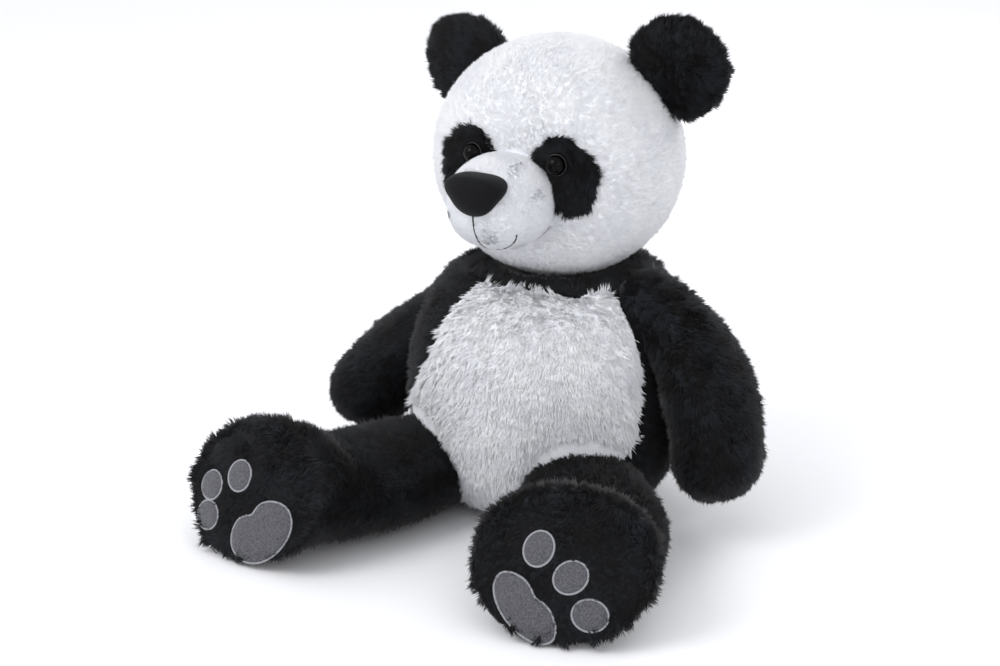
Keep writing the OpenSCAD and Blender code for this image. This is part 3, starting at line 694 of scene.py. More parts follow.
grown = pile("muzzle_panel_pile", muzzle_cover, short_tones, 48000, 2.4 * MM, 1.0 * MM, math.radians(50),
             muzzle_brushed, 250, ragged=0.2, clump=3 * MM, keep=muzzle_pile_place, shade=0.1,
             sink=0.4 * MM, swirl=0.1)
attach(grown, "head")
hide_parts("muzzle_panel", "muzzle_stuffing")
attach(muzzle_cover, "head")

# ---------------------------------------------------------------- nose
# A rounded triangle of black velboa, padded and sewn to the front of the muzzle by its edge.
# The short pile is matt with a soft light along its upper edge.

velboa_black, shader = new_material("black_velboa_brushed", "#08090b", 0.85, 0.06, specular=0.15)
where = add(velboa_black, "ShaderNodeTexCoord")
grain = add(velboa_black, "ShaderNodeTexNoise", {"Scale": 1 / (1.2 * MM), "Detail": 3.0},
            {"Vector": (where, "Object")})
tone = add(velboa_black, "ShaderNodeMix", {"data_type": "RGBA", 6: linear("#050507"), 7: linear("#101114")},
           {0: (grain, "Fac")})
bump = add(velboa_black, "ShaderNodeBump", {"Strength": 0.6, "Distance": 0.5 * MM}, {"Height": (grain, "Fac")})
velboa_black.node_tree.links.new(tone.outputs[2], shader.inputs["Base Color"])
velboa_black.node_tree.links.new(bump.outputs["Normal"], shader.inputs["Normal"])


def surface(piece):
    """A search tree of a piece's faces."""
    mesh = piece.data
    return BVHTree.FromPolygons([v.co for v in mesh.vertices], [tuple(p.vertices) for p in mesh.polygons])


muzzle_tree = surface(muzzle_cover)


def front_of(tree, x, z):
    """Point and outward direction where a level ray from the front meets a surface, in metres."""
    hit, normal, _, _ = tree.ray_cast(Vector((x * MM, -0.4, z * MM)), Vector((0, 1, 0)))
    return np.array(hit), np.array(normal)


nose_half_w, nose_half_h, nose_z = 36.0, 22.0, 400.5
nose_front, nose_rounding = -74.0, 13.0
n = 48
rings = []
# share is how far out a ring lies, and front how far it stands from the muzzle's skin to the nose's face
for share, front in ((0.0, -0.1), (0.6, -0.1), (0.86, -0.05), (0.92, 0.1), (0.97, 0.35), (1.0, 0.6), (1.0, 0.8),
                     (0.975, 0.92), (0.93, 1.0), (0.85, 1.0), (0.7, 1.0), (0.5, 1.0), (0.25, 1.0), (0.0, 1.0)):
    ring = []
    for k in range(n if share else 1):
        turn = 2 * math.pi * k / n
        reach = 1 + 0.10 * math.sin(3 * turn) - 0.04 * math.cos(2 * turn)
        x, z = nose_half_w * share * reach * math.cos(turn), nose_half_h * share * reach * math.sin(turn)
        x += muzzle_x
        skin, _ = front_of(muzzle_tree, x, nose_z + z)
        top = (nose_front + nose_rounding * share ** 3) * MM
        ring.append((x * MM, skin[1] + (top - skin[1]) * front, (nose_z + z) * MM))
    rings.append(ring)
nose_pad = make_piece("nose_pad", *loft(rings), [velboa_black])
finer = nose_pad.modifiers.new("finer", "SUBSURF")
finer.levels = finer.render_levels = 2
settle(nose_pad)
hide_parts("nose")
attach(nose_pad, "head")

# ---------------------------------------------------------------- mouth
# Black embroidery thread, six strands, stitched through the muzzle in a line and a smile.
# Each stitch is about 5 mm long and sinks a little where it enters the cloth.

thread_black, shader = new_material("black_embroidery_thread", "#0a0a0c", 0.55, 0.1, specular=0.3)
where = add(thread_black, "ShaderNodeTexCoord")
twist = add(thread_black, "ShaderNodeTexWave", {"Scale": 400.0, "Distortion": 1.0},
            {"Vector": (where, "Object")})
tone = add(thread_black, "ShaderNodeMix", {"data_type": "RGBA", 6: linear("#060607"), 7: linear("#17181b")},
           {0: (twist, "Fac")})
thread_black.node_tree.links.new(tone.outputs[2], shader.inputs["Base Color"])


def tube(path, out, radius, sides=8):
    """Points and faces of a thin closed tube along a path; radius is one value or one for each point."""
    path, out = np.array(path), np.array(out)
    along = unit(np.gradient(path, axis=0))
    over = unit(np.cross(along, out))
    up = np.cross(over, along)
    size = np.broadcast_to(np.asarray(radius, float), (len(path),))
    rings = [[tuple(path[0])]]
    for k in range(len(path)):
        rings.append([tuple(path[k] + size[k] * (over[k] * math.cos(t) + up[k] * math.sin(t)))
                      for t in np.arange(sides) * 2 * math.pi / sides])
    rings.append([tuple(path[-1])])
    return loft(rings)


def join_forms(forms):
    """Several closed forms as one list of points and faces."""
    points, faces = [], []
    for more_points, more_faces in forms:
        start = sum(len(p) for p in points)
        points.append(more_points)
        faces += [tuple(v + start for v in face) for face in more_faces]
    return np.concatenate(points), faces


forms = []
for places in ([(0.0, z) for z in np.arange(388.0, mouth_low - 1, -1.0)],
               [smile(s) for s in np.linspace(-1, 1, 90)]):
    found = [front_of(muzzle_tree, x + muzzle_x, z) for x, z in places]
    stitch = np.arange(len(found)) / 5.0
    size = (0.75 + 0.35 * np.abs(np.sin(math.pi * stitch))) * MM
    forms.append(tube([p + q * 0.5 * MM for p, q in found], [q for _, q in found], size))
mouth_thread = make_piece("mouth_thread", *join_forms(forms), [thread_black])
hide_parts("mouth_stitch")
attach(mouth_thread, "head")

# ---------------------------------------------------------------- eye patches
# Ovals of the long black plush laid on the face and sewn round, leaning outwards at the bottom.
# Their pile is longer than the white pile round them, so the edge is ragged and stands proud.

head_tree = surface(head_cover)


def patch_point(across, up, sign, lift):
    """A point of a patch at a place on it, lifted off the head's skin, and the direction out of the head."""
    lean = patch_lean
    p, q = across * math.cos(lean) - up * math.sin(lean), across * math.sin(lean) + up * math.cos(lean)
    centre = patch_centre(sign)
    east, north = unit(np.cross((0, 0, 1), centre) * sign), unit(np.cross(centre, np.cross((0, 0, 1), centre)))
    away = unit(centre + (east * p + north * q) / 142) * (148, 142, 137)
    hit, normal = front_of(head_tree, away[0], head_middle[2] + away[2])
    return hit + normal * lift * MM, normal


eye_place = np.array([52.0, 22.6, 422.0])


def skin_y(points):
    """How far forward the head's skin stands at each point's place across and up."""
    return np.array([front_of(head_tree, p[0] / MM, p[2] / MM)[0][1] for p in points])


for name, sign in SIDES.items():
    rows = []
    for share, lift in ((0.0, -1.0), (0.5, -1.0), (1.0, -1.0), (1.0, 1.0), (0.97, 1.8), (0.75, 2.0), (0.5, 2.0),
                        (0.25, 2.0), (0.0, 2.0)):
        if share == 0:
            rows.append([tuple(patch_point(0, 0, sign, lift)[0])])
            continue
        ring = []
        for t in np.arange(48) * 2 * math.pi / 48 * sign:
            edge = share * (1 + 0.025 * math.sin(5 * t + 1) + 0.02 * math.sin(9 * t))
            across, up = patch_half_w[sign] * edge * math.cos(t), patch_half_h * edge * math.sin(t)
            ring.append(tuple(patch_point(across, up, sign, lift)[0]))
        rows.append(ring)
    patch = make_piece(f"eye_patch_{name}_cloth", *loft(rows), [black_knit])
    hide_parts(f"eye_patch_{name}")
    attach(patch, "head")
    eye = eye_place * (sign, 1, 1) * MM

    def on_top(points, margin, eye=eye):
        """Chooses the patch's upper side, clear of the eye and of the muzzle."""
        clear = points[:, 1] < skin_y(points) - 0.6 * MM
        clear &= share_of(points, muzzle_middle, muzzle_half) > 0.99 - margin * 20
        return clear & (np.linalg.norm(points - eye, axis=1) > 12.5 * MM - margin)

    def parted(points, out, eye=eye, sign=sign):
        """Pile brushed down and out, and parted round the eye."""
        from_eye = points - eye
        near = np.exp(-(np.linalg.norm(from_eye, axis=1) / (20 * MM)) ** 2)[:, None]
        return unit(from_eye) * near * 2.5 + np.array([0.35 * sign, 0, -1.0]) * (1 - near)

    grown = pile(f"eye_patch_{name}_pile", patch, black_pile, 17000, 9.0 * MM, 2.0 * MM, math.radians(46),
                 parted, 300 + sign, ragged=0.35, clump=6 * MM, keep=on_top)
    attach(grown, "head")

# ---------------------------------------------------------------- eyes
# Moulded safety eyes: a glossy dome with a thin rim, on a ribbed stem locked by a washer inside.
# Polished black-brown plastic gives a hard bright highlight; the washers are matt natural plastic.

eye_plastic, shader = new_material("eye_acrylic_moulded_polished", "#050404", 0.07, ior=1.49, specular=0.1)
where = add(eye_plastic, "ShaderNodeTexCoord")
depth = add(eye_plastic, "ShaderNodeTexNoise", {"Scale": 90.0, "Detail": 1.0}, {"Vector": (where, "Object")})
tone = add(eye_plastic, "ShaderNodeMix", {"data_type": "RGBA", 6: linear("#020202"), 7: linear("#080605")},
           {0: (depth, "Fac")})
eye_plastic.node_tree.links.new(tone.outputs[2], shader.inputs["Base Color"])
rim_plastic, shader = new_material("eye_rim_acrylic_polished", "#2c2c30", 0.3, ior=1.49)
where = add(rim_plastic, "ShaderNodeTexCoord")
flow = add(rim_plastic, "ShaderNodeTexNoise", {"Scale": 120.0}, {"Vector": (where, "Object")})
tone = add(rim_plastic, "ShaderNodeMix", {"data_type": "RGBA", 6: linear("#242428"), 7: linear("#38383d")},
           {0: (flow, "Fac")})
rim_plastic.node_tree.links.new(tone.outputs[2], shader.inputs["Base Color"])
washer_plastic, shader = new_material("washer_polyethylene_moulded", "#dcdcd6", 0.5, ior=1.5)
where = add(washer_plastic, "ShaderNodeTexCoord")
flow = add(washer_plastic, "ShaderNodeTexNoise", {"Scale": 300.0}, {"Vector": (where, "Object")})
bump = add(washer_plastic, "ShaderNodeBump", {"Strength": 0.2, "Distance": 0.1 * MM}, {"Height": (flow, "Fac")})
washer_plastic.node_tree.links.new(bump.outputs["Normal"], shader.inputs["Normal"])


def recoat(node, material):
    """Gives a carried-over CAD piece its material."""
    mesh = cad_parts[node].data
    mesh.materials.clear()
    mesh.materials.append(material)


rim_radius, rim_wire, rim_lift = 11.5, 0.55, 3.6
for name, sign in SIDES.items():
    recoat(f"eye_{name}", eye_plastic)
    recoat(f"eye_washer_{name}", washer_plastic)
    axis = unit(np.array([0.144 * sign, -0.988, 0.061]))
    base = eye_place * (sign, 1, 1) * MM + axis * rim_lift * MM
    side_way = unit(np.cross(axis, (0, 0, 1)))
    up_way = np.cross(side_way, axis)
    turn = np.arange(64) * 2 * math.pi / 64
    rings = []
    for t in turn:
        way = side_way * math.cos(t) + up_way * math.sin(t)
        rings.append([tuple(base + way * (rim_radius + rim_wire * math.cos(s)) * MM
                            + axis * rim_wire * math.sin(s) * MM)
                      for s in np.arange(12) * 2 * math.pi / 12])
    points = np.array(rings).reshape(-1, 3)
    faces = [(a * 12 + b, a * 12 + (b + 1) % 12, (a + 1) % 64 * 12 + (b + 1) % 12, (a + 1) % 64 * 12 + b)
             for a in range(64) for b in range(12)]
    rim = make_piece(f"eye_rim_{name}", points, faces, [rim_plastic])
    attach(rim, "head")

# ---------------------------------------------------------------- neck thread
# A doubled, twisted polyester thread drawn tight round the neck seam, sunk between head and torso.
# It holds the head on and is hidden by the pile on both sides.

neck_radius, neck_seam_z, ply, twists = 75.0, 278.5, 0.8, 90
turn = np.linspace(0, 2 * math.pi, 361)
plies = []
for start in (0, math.pi):
    twist = turn * twists + start
    reach = neck_radius + ply * np.cos(twist)
    ring = np.stack([reach * np.sin(turn), neck_mid - reach * np.cos(turn),
                     neck_seam_z + ply * np.sin(twist)], 1)
    plies.append(tube(ring * MM, np.tile((0.0, 0.0, 1.0), (len(ring), 1)), ply * MM, 6))
neck_cord = make_piece("neck_cord", *join_forms(plies), [thread_black])
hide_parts("neck_thread")
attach(neck_cord, "torso")

# ---------------------------------------------------------------- ears
# Each ear is two round black plush panels sewn together and lightly stuffed, set in the head's seam.
# The pile is the long one, so the rim is ragged against the light.

ear_rise = math.radians(38)
ear_shift = {1: np.array([8.0, 16.0, 11.0]), -1: np.array([0.0, 8.0, -11.0])}
ear_turn = math.radians(12)
ear_half_w, ear_height, ear_half_t = 57.0, 72.0, 14.0


def ear_frame(sign):
    """The ear's root, and its directions across, through and along."""
    out = np.array([math.cos(ear_rise), 0, math.sin(ear_rise)])
    over = np.array([-math.sin(ear_rise) * math.cos(ear_turn), -math.sin(ear_rise) * math.sin(ear_turn),
                     math.cos(ear_rise)])
    through = np.array([-math.sin(ear_turn), math.cos(ear_turn), 0])
    flip = np.array([sign, 1, 1])
    root = (head_middle + (0, 10, 0) + out * 143.9) * flip + ear_shift[sign]
    return root, over * flip, through * flip, out * flip


for name, sign in SIDES.items():
    root, over, through, out = ear_frame(sign)
    rings = []
    for share in (-0.42, -0.4, -0.3, -0.15, 0.0, 0.15, 0.3, 0.45, 0.6, 0.72, 0.82, 0.9, 0.96, 0.99):
        bow = math.sqrt(max(1 - (max(share - 0.1, 0) / 0.9) ** 2.3, 0.0))
        if share < 0:
            bow = 1 - 0.9 * (share / 0.42) ** 4 if share > -0.42 else 0.02
        half_w = ear_half_w * bow * (0.93 + 0.07 * float(ease((share + 0.1) / 0.4)))
        half_t = ear_half_t * bow ** 0.7
        rings.append([tuple((root + over * half_w * math.cos(t) * sign + through * half_t * math.sin(t)
                             + out * ear_height * share) * MM) for t in np.arange(40) * 2 * math.pi / 40])
    rings.insert(0, [tuple((root - out * ear_height * 0.42) * MM)])
    rings.append([tuple((root + out * ear_height) * MM)])

    def ear_seam(points, root=root, over=over, through=through):
        """1 on the ear's rim seam, falling to 0."""
        local = points / MM - root
        edge = np.abs(local @ through)
        inside = share_of(points, head_middle, head_half + 2) < 1
        return np.maximum(0.8 * (1 - ease(edge / 5)), inside)

    ear = make_piece(f"ear_{name}_cover", *loft(rings), [black_knit])
    stuff(ear, 4 * MM, ear_seam, voxel=4 * MM)
    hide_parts(f"ear_front_{name}", f"ear_back_{name}", f"ear_stuffing_{name}")
    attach(ear, f"ear_{name}")

    def ear_side(front, root=root, through=through):
        """Chooses one panel of the ear where it stands out of the head."""
        def chosen(points, margin):
            clear = share_of(points, head_middle, head_half - 2) > 1 - margin * 10
            if margin == 0:
                clear &= ((points / MM - root) @ through < 0) == front
            return clear
        return chosen

    def ear_brushed(points, normal, out=out, root=root):
        """Pile brushed from the root to the rim."""
        local = points / MM - root
        return unit(local - out * 10) * 0.6 + out

    for front, panel in ((True, "front"), (False, "back")):
        grown = pile(f"ear_{panel}_{name}_pile", ear, black_pile, 32000, 8.5 * MM, 2.0 * MM,
                     math.radians(50), ear_brushed, 400 + 2 * sign + front, ragged=0.35, clump=7 * MM,
                     keep=ear_side(front))
        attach(grown, f"ear_{name}")

# ---------------------------------------------------------------- arms
# Long flat mitts of black plush, an outer and an inner panel each, sewn on at the shoulder and
# stuffed loosely, so that they hang and press against the sides.

# Below 0 is the round top at the shoulder, 0 to 1 the arm, and above 1 the round end of the paw.
arm_steps = (-1.0, -0.8, -0.55, -0.28, 0.0, 0.12, 0.25, 0.38, 0.5, 0.62, 0.74, 0.86,
             1.0, 1.25, 1.5, 1.72, 1.9, 2.0)


def arm_size(t):
    """Half width and half thickness of an arm, in millimetres."""
    half_w = 41 + 21 * float(ease((t - 0.1) / 0.45)) - 2 * float(ease((t - 0.8) / 0.2))
    half_t = 39 + 5 * float(ease((t - 0.35) / 0.4))
    return half_w, half_t


def arm_ring(step, side, n=48):
    """A ring of the arm; below 0 is its round top and above 1 the end of the paw."""
    t = min(max(step, 0.0), 1.0)
    middle = arm_middle(t, side)
    along = unit(arm_middle(t + 0.01, side) - arm_middle(t - 0.01, side))
    wide = unit(np.array([0, 1, 0]) - along * along[1])
    thick = np.cross(along, wide)
    half_w, half_t = arm_size(t)
    turn = math.radians(-90 * step if step < 0 else 90 * (step - 1) if step > 1 else 0)
    push = -44 * math.sin(turn) if step < 0 else 40 * math.sin(turn)
    middle = middle + along * push
    if turn > math.radians(89):
        return [tuple(middle * MM)]
    close = math.cos(turn) ** 0.85
    return [tuple((middle + (wide * half_w * math.cos(t) + thick * half_t * math.sin(t)) * close) * MM)
            for t in np.arange(n) * 2 * math.pi / n]


for name, sign in SIDES.items():
    line = np.linspace(0, 1, 60)
    middles = arm_middle(line, name)

    def arm_local(points, middles=middles):
        """Place along the arm from 0 to 1, and the side of its rim seam that a point is on."""
        nearest = np.argmin(np.linalg.norm(points[:, None] / MM - middles[None], axis=2), axis=1)
        offset = points / MM - middles[nearest]
        along = unit(np.gradient(middles, axis=0))[nearest]
        thick = unit(np.cross(along, np.tile((0.0, 1.0, 0.0), (len(points), 1))))
        return nearest / 59, np.sum(offset * thick, axis=1)

    def arm_seam(points, local=arm_local, sign=sign):
        """1 on the seam between the outer and the inner panel, falling to 0."""
        t, side_of = local(points)
        return 0.9 * (1 - ease(np.abs(side_of) / 6)) * ease((t + 0.05) / 0.2)

    arm = make_piece(f"arm_{name}_cover", *loft([arm_ring(s, name) for s in arm_steps]), [black_knit])
    stuff(arm, 6 * MM, arm_seam)
    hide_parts(f"arm_outer_{name}", f"arm_inner_{name}", f"arm_stuffing_{name}")
    pieces = [arm]

    def arm_side(outer, local=arm_local, sign=sign):
        """Chooses one panel of the arm, outside the torso."""
        def chosen(points, margin):
            clear = ~(within_torso(points, 0.97 + margin) & (points[:, 2] / MM < rim_z))
            if margin == 0:
                _, side_of = local(points)
                clear &= (side_of < 0) == outer
            return clear
        return chosen

    def arm_brushed(points, normal, middles=middles):
        """Pile brushed down the arm."""
        nearest = np.argmin(np.linalg.norm(points[:, None] / MM - middles[None], axis=2), axis=1)
        return unit(np.gradient(middles, axis=0))[nearest]

    for outer, panel in ((True, "outer"), (False, "inner")):
        grown = pile(f"arm_{panel}_{name}_pile", arm, black_pile, 52000, 9.0 * MM, 2.2 * MM, math.radians(50),
                     arm_brushed, 500 + 2 * sign + outer, ragged=0.35, keep=arm_side(outer))
        pieces.append(grown)
    for piece in pieces:
        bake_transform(piece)

# ---------------------------------------------------------------- legs
# Thick black plush tubes, an upper and a lower panel each, stuffed and laid out on the floor.
# They swell at the foot, round a large sole that leans back.


def sole_frame(sign):
    """Directions out of a sole, across it outwards, and up it. Its right foot turns out less."""
    splay, lean = math.radians(14 if sign > 0 else 7), math.radians(30)
    out = np.array([math.sin(splay) * math.cos(lean), -math.cos(splay) * math.cos(lean), math.sin(lean)])
    across = np.array([math.cos(splay), math.sin(splay), 0])
    return [v * (sign, 1, 1) for v in (out, across, np.cross(out, across))]


leg_half_w = ((-1, 52), (0.0, 60), (0.3, 82), (0.6, 84), (0.74, 84), (0.86, 92), (0.96, 99), (1.0, 97))
leg_half_h = ((-1, 45), (0.0, 46), (0.3, 46), (0.6, 47), (0.74, 52), (0.86, 65), (0.96, 78), (1.0, 80))
leg_bow = {1: 20.0, -1: -7.0}  # the left leg lies bowed outwards, the right one nearly straight
leg_steps = (-1.0, -0.8, -0.55, -0.28, 0.0, 0.12, 0.25, 0.38, 0.5, 0.6, 0.68, 0.75, 0.81, 0.86, 0.91,
             0.955, 0.985, 1.0)


def leg_middle(t, sign):
    """Points of a leg's middle line, drawn as a left leg; it lies on the floor along its whole length."""
    t = np.asarray(t, float)
    half_h = np.interp(t, *zip(*leg_half_h)) / (1 - 0.12 * t)
    place = hip + (ankle_end - hip) * t[..., None]
    place[..., 0] += leg_bow[sign] * np.sin(math.pi * t)
    blend = ease((t - 0.8) / 0.2)
    place[..., 0] += 5 * blend
    place[..., 2] = (8 + half_h) * (1 - blend) + 72 * blend
    return place


def leg_ring(step, sign, n=56):
    """A ring of a leg; below 0 is its round top, and at 1 it meets the sole."""
    t = min(max(step, 0.0), 1.0)
    middle = leg_middle(np.array(t), sign)
    straight = unit(np.array([ankle_end[0] - hip[0], ankle_end[1] - hip[1], 0.0]))
    tip = float(ease((t - 0.45) / 0.5))
    facing = unit(straight * (1 - tip) + sole_frame(sign)[0] * (sign, 1, 1) * tip)
    wide = unit(np.cross((0, 0, 1), facing))
    high = np.cross(facing, wide)
    half_w, half_h = np.interp(t, *zip(*leg_half_w)), np.interp(t, *zip(*leg_half_h))
    turn = math.radians(-90 * step) if step < 0 else 0
    middle = middle - straight * 58 * math.sin(turn)
    flip = np.array([sign, 1, 1])
    if turn > math.radians(89):
        return [tuple(middle * flip * MM)]
    power = 2.15
    ring = []
    for a in np.arange(n) * 2 * math.pi / n * sign:
        c, s = math.cos(a), math.sin(a)
        x, z = (math.copysign(abs(v) ** (2 / power), v) for v in (c, s))
        ring.append(tuple((middle + (wide * half_w * x + high * half_h * z) * math.cos(turn)) * flip * MM))
    return ring


for name, sign in SIDES.items():
    flip = np.array([sign, 1, 1])
    rings = [leg_ring(s, sign) for s in leg_steps]
    sole_out = sole_frame(sign)[0]
    last = np.array(rings[-1])
    centre = last.mean(axis=0)
    for share, rise in ((0.93, -7.0), (0.8, -5.0), (0.4, 2.0)):  # the closed end lies under the sole
        rings.append([tuple(p) for p in centre + (last - centre) * share + sole_out * rise * MM])
    rings.append([tuple(centre + sole_out * 4 * MM)])
    line = np.linspace(0, 1, 50)
    middles = leg_middle(line, sign) * flip

    def leg_local(points, middles=middles, flip=flip, sole_out=sole_out):
        """Place along the leg from 0 to 1, height over its middle line and distance behind the sole."""
        nearest = np.argmin(np.linalg.norm(points[:, None] / MM - middles[None], axis=2), axis=1)
        height = points[:, 2] / MM - middles[nearest][:, 2]
        before = (points / MM - ankle_end * flip) @ sole_out
        return nearest / 49, height, before

    def leg_seam(points, local=leg_local):
        """1 on the leg's side seams and round the sole, falling to 0."""
        t, height, before = local(points)
        return np.maximum(0.7 * (1 - ease(np.abs(height) / 6)), 1 - ease((-before - 1) / 8))

    leg = make_piece(f"leg_{name}_cover", *loft(rings), [black_knit])
    stuff(leg, 6 * MM, leg_seam)
    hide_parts(f"leg_upper_{name}", f"leg_lower_{name}", f"leg_stuffing_{name}")
    pieces = [leg]

    def leg_side(upper, local=leg_local):
        """Chooses one panel of the leg, outside the torso and off the sole."""
        def chosen(points, margin):
            _, height, before = local(points)
            clear = ~within_torso(points, 0.96) & (points[:, 2] / MM > 5)
            clear &= before < -0.5 - (2 if margin else 0)
            if margin == 0:
                clear &= (height > 0) == upper
            return clear
        return chosen

    def leg_brushed(points, normal, flip=flip):
        """Pile brushed down the leg, and turned out round the foot."""
        t = np.linalg.norm(points / MM - hip * flip, axis=1) / 260
        lift = ease((t - 0.8) / 0.2)[:, None]
        return unit(ankle_end * flip - hip * flip) * (1 - 0.5 * lift) + normal * lift

    for upper, panel in ((True, "upper"), (False, "lower")):
        grown = pile(f"leg_{panel}_{name}_pile", leg, black_pile, 54000, 9.0 * MM, 2.2 * MM, math.radians(50),
                     leg_brushed, 600 + 2 * sign + upper, ragged=0.35, keep=leg_side(upper))
        pieces.append(grown)
    for piece in pieces:
        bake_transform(piece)

# ---------------------------------------------------------------- soles and pads
# A large oval of short black plush closes each foot. Heart and toe pads of grey short-pile cloth are
# laid on it and edged with satin stitch, rolled outwards as the feet fall.

sole_half_w, sole_half_h, sole_roll = 88.0, 74.0, math.radians(43)
sole_dome, sole_inset = 16.0, 5.0
sole_cloth, shader = new_material("black_short_plush_sole", "#0a0b0d", 0.85, 0.08, specular=0.15)
where = add(sole_cloth, "ShaderNodeTexCoord")
grain = add(sole_cloth, "ShaderNodeTexNoise", {"Scale": 1 / (2.0 * MM), "Detail": 4.0},
            {"Vector": (where, "Object")})
tone = add(sole_cloth, "ShaderNodeMix", {"data_type": "RGBA", 6: linear("#090a0c"), 7: linear("#17181c")},
           {0: (grain, "Fac")})
bump = add(sole_cloth, "ShaderNodeBump", {"Strength": 0.8, "Distance": 0.8 * MM}, {"Height": (grain, "Fac")})
sole_cloth.node_tree.links.new(tone.outputs[2], shader.inputs["Base Color"])
sole_cloth.node_tree.links.new(bump.outputs["Normal"], shader.inputs["Normal"])
# Short-pile grey cloth: flecked light and dark with painted sheen, where its fibres lie in different directions
# and catch the light unevenly.
pad_cloth, shader = new_material("grey_velboa_pad", "#5a5a5f", 0.85, 0.2, specular=0.2)
where = add(pad_cloth, "ShaderNodeTexCoord")
fleck_and_sheen = add(pad_cloth, "ShaderNodeTexNoise", {"Scale": 1 / (1.6 * MM), "Detail": 4.0, "Roughness": 0.7},
            {"Vector": (where, "Object")})
spread = add(pad_cloth, "ShaderNodeMapRange", {"From Min": 0.35, "From Max": 0.65}, {"Value": (fleck_and_sheen, "Fac")})
# The fleck's lighter and darker greys are painted sheen; the same noise gives the fibres' bump.
tone = add(pad_cloth, "ShaderNodeMix", {"data_type": "RGBA", 6: linear("#3a3a3e"), 7: linear("#646469")},
           {0: (spread, "Result")})
bump = add(pad_cloth, "ShaderNodeBump", {"Strength": 0.6, "Distance": 0.5 * MM}, {"Height": (fleck_and_sheen, "Fac")})
pad_cloth.node_tree.links.new(tone.outputs[2], shader.inputs["Base Color"])
pad_cloth.node_tree.links.new(bump.outputs["Normal"], shader.inputs["Normal"])
# Satin stitch: parallel polyester threads 0.4 mm apart, drawn at 1 mm; shinier than the cloth.
satin_thread, shader = new_material("grey_satin_stitch", "#8c8c92", 0.45, 0.1, specular=0.4)
where = add(satin_thread, "ShaderNodeTexCoord")
threads = add(satin_thread, "ShaderNodeTexNoise", {"Scale": 1 / (1.0 * MM), "Detail": 1.0},
              {"Vector": (where, "Object")})
tone = add(satin_thread, "ShaderNodeMix", {"data_type": "RGBA", 6: linear("#6e6e74"), 7: linear("#a4a4aa")},
           {0: (threads, "Fac")})
satin_thread.node_tree.links.new(tone.outputs[2], shader.inputs["Base Color"])


def sole_point(x, y, lift, sign):
    """A point of the domed sole: x outwards, y up it, lifted out of it, in millimetres."""
    share = min((x / sole_half_w) ** 2 + (y / sole_half_h) ** 2, 1.3)
    out, across, up = sole_frame(sign)
    place = ankle_end * (sign, 1, 1) + across * x + up * y + out * (sole_dome * (1 - share) - sole_inset + lift)
    place[2] += 1.0
    return tuple(place * MM)


def turned_outline(shape, x, y, roll):
    """An outline turned clockwise by a roll and moved to a place on the sole."""
    return [(x + p * math.cos(roll) + q * math.sin(roll), y - p * math.sin(roll) + q * math.cos(roll))
            for p, q in shape]


def heart_outline(x, y, high, low, n=72):
    """The heel pad: a wide rounded heart with its notch towards the toes."""
    shape = []
    for k in range(n):
        turn = 2 * math.pi * k / n
        notch = 1 - 0.28 * math.exp(-((math.degrees(turn) - 90) / 16) ** 2)
        half_h = high if math.sin(turn) > 0 else low
        shape.append((43 * notch * math.cos(turn), half_h * notch * math.sin(turn)))
    return turned_outline(shape, x, y, sole_roll)


def toe_outline(x, y, roll, n=40):
    """A toe pad: an oval that points away from the heel pad."""
    shape = [(16 * math.cos(t), 18.5 * math.sin(t)) for t in np.arange(n) * 2 * math.pi / n]
    return turned_outline(shape, x, y, math.radians(roll))


def pad_form(outline, sign):
    """A low cushion of cloth inside an outline on the sole."""
    outline = np.array(outline)
    centre = outline.mean(axis=0)
    rings = []
    for share, lift in ((0.0, -1.0), (0.6, -1.0), (1.0, -1.0), (1.0, 0.6), (0.96, 1.6), (0.86, 2.4),
                        (0.65, 3.0), (0.35, 3.2), (0.0, 3.3)):
        places = [centre + (p - centre) * share for p in (outline if share else [centre])]
        rings.append([sole_point(x, y, lift, sign) for x, y in places][::sign])
    return loft(rings)


def satin_edge(outline, sign):
    """The satin-stitched edge round a pad: a raised cord."""
    n = len(outline)
    path = np.array([sole_point(x, y, 1.2, sign) for x, y in outline])
    out = sole_frame(sign)[0]
    along = unit(np.roll(path, -1, axis=0) - np.roll(path, 1, axis=0))
    over = unit(np.cross(along, out))
    points = []
    for k in range(n):
        for t in np.arange(8) * 2 * math.pi / 8:
            points.append(path[k] + over[k] * 1.25 * MM * math.cos(t) + out * 1.0 * MM * math.sin(t))
    faces = [(a * 8 + b, a * 8 + (b + 1) % 8, (a + 1) % n * 8 + (b + 1) % 8, (a + 1) % n * 8 + b)
             for a in range(n) for b in range(8)]
    return np.array(points), [face[::sign] for face in faces]


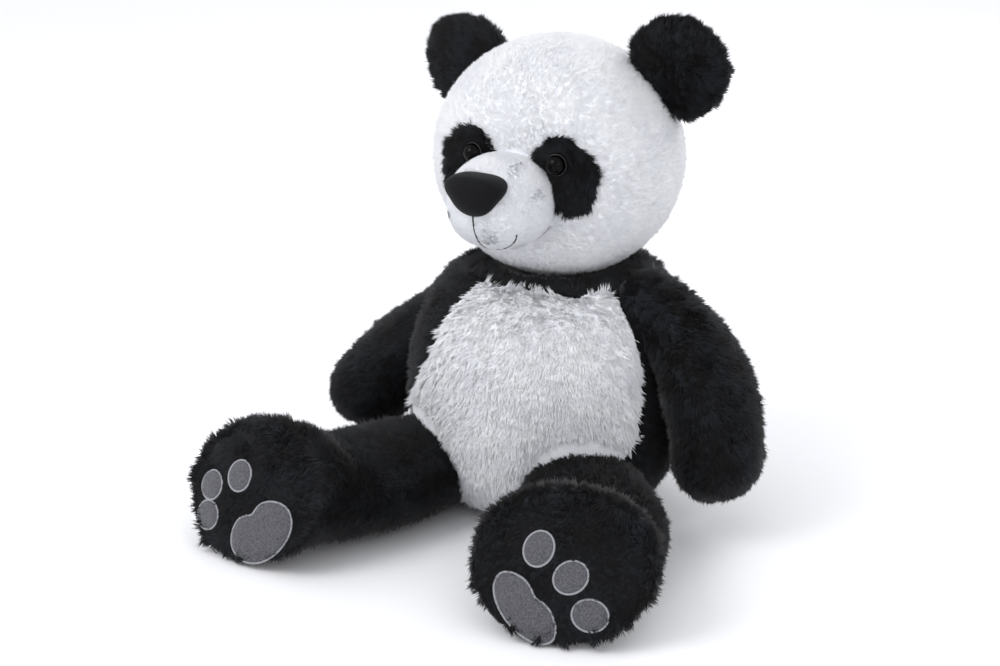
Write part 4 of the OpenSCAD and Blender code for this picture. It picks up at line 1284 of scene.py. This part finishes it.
hearts = {1: (-27, -44, 21, 24), -1: (-29, -38, 28, 30)}
toes = {1: ((-19, 16, 10), (18, -9, 52), (41, -44, 88)), -1: ((18, 13, 43), (57, -6, 72), (52, -39, 93))}
for name, sign in SIDES.items():
    rings = []
    for share, lift in ((0.0, -5.0), (0.5, -5.0), (0.9, -5.0), (1.0, -4.0), (1.02, -1.5), (1.0, -0.3),
                        (0.94, 0), (0.8, 0), (0.65, 0), (0.5, 0), (0.33, 0), (0.17, 0), (0.0, 0.0)):
        turns = np.arange(72 if share else 1) * 2 * math.pi / 72
        wide, high = sole_half_w * share, sole_half_h * share
        rings.append([sole_point(wide * math.cos(t), high * math.sin(t), lift, sign) for t in turns][::sign])
    sole = make_piece(f"sole_{name}_cloth", *loft(rings), [sole_cloth])
    finer = sole.modifiers.new("finer", "SUBSURF")
    finer.levels = finer.render_levels = 1
    settle(sole)
    heel = make_piece(f"heel_pad_{name}_cloth", *pad_form(heart_outline(*hearts[sign]), sign), [pad_cloth])
    toe_pads = make_piece(f"toe_pads_{name}_cloth",
                          *join_forms([pad_form(toe_outline(*toe), sign) for toe in toes[sign]]), [pad_cloth])
    edges = make_piece(f"pad_stitching_{name}",
                       *join_forms([satin_edge(heart_outline(*hearts[sign]), sign)]
                                   + [satin_edge(toe_outline(*toe), sign) for toe in toes[sign]]),
                       [satin_thread])
    outlines = [np.array(heart_outline(*hearts[sign]))] + [np.array(toe_outline(*toe)) for toe in toes[sign]]

    def bare_sole(points, margin, sign=sign, outlines=outlines):
        """Chooses the sole's points outside the pads."""
        out, across, up = sole_frame(sign)
        local = points / MM - ankle_end * (sign, 1, 1) - (0, 0, 1)
        x, y = local @ across, local @ up
        clear = local @ out > 15 * (1 - (x / sole_half_w) ** 2 - (y / sole_half_h) ** 2) - 6.5
        if margin == 0:
            for outline in outlines:
                centre = outline.mean(axis=0)
                turn = np.arctan2(outline[:, 1] - centre[1], outline[:, 0] - centre[0])
                order = np.argsort(turn)
                size = np.hypot(*(outline - centre).T)[order]
                bearing = np.arctan2(y - centre[1], x - centre[0])
                here = np.interp(bearing, turn[order], size, period=2 * math.pi)
                clear &= np.hypot(x - centre[0], y - centre[1]) > here + 1
        return clear

    grown = pile(f"sole_{name}_pile", sole, black_pile, 42000, 4.0 * MM, 1.5 * MM, math.radians(50),
                 brushed_down, 700 + sign, ragged=0.3, clump=5 * MM, keep=bare_sole, sink=0.8 * MM)
    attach(grown, f"leg_{name}")
    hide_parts(f"sole_{name}")
    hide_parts(f"heel_pad_{name}")
    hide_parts(f"toe_pads_{name}")
    for piece, slot in ((sole, "black_plush"), (heel, "grey_applique"), (toe_pads, "grey_applique"),
                        (edges, "grey_applique")):
        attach(piece, f"leg_{name}")
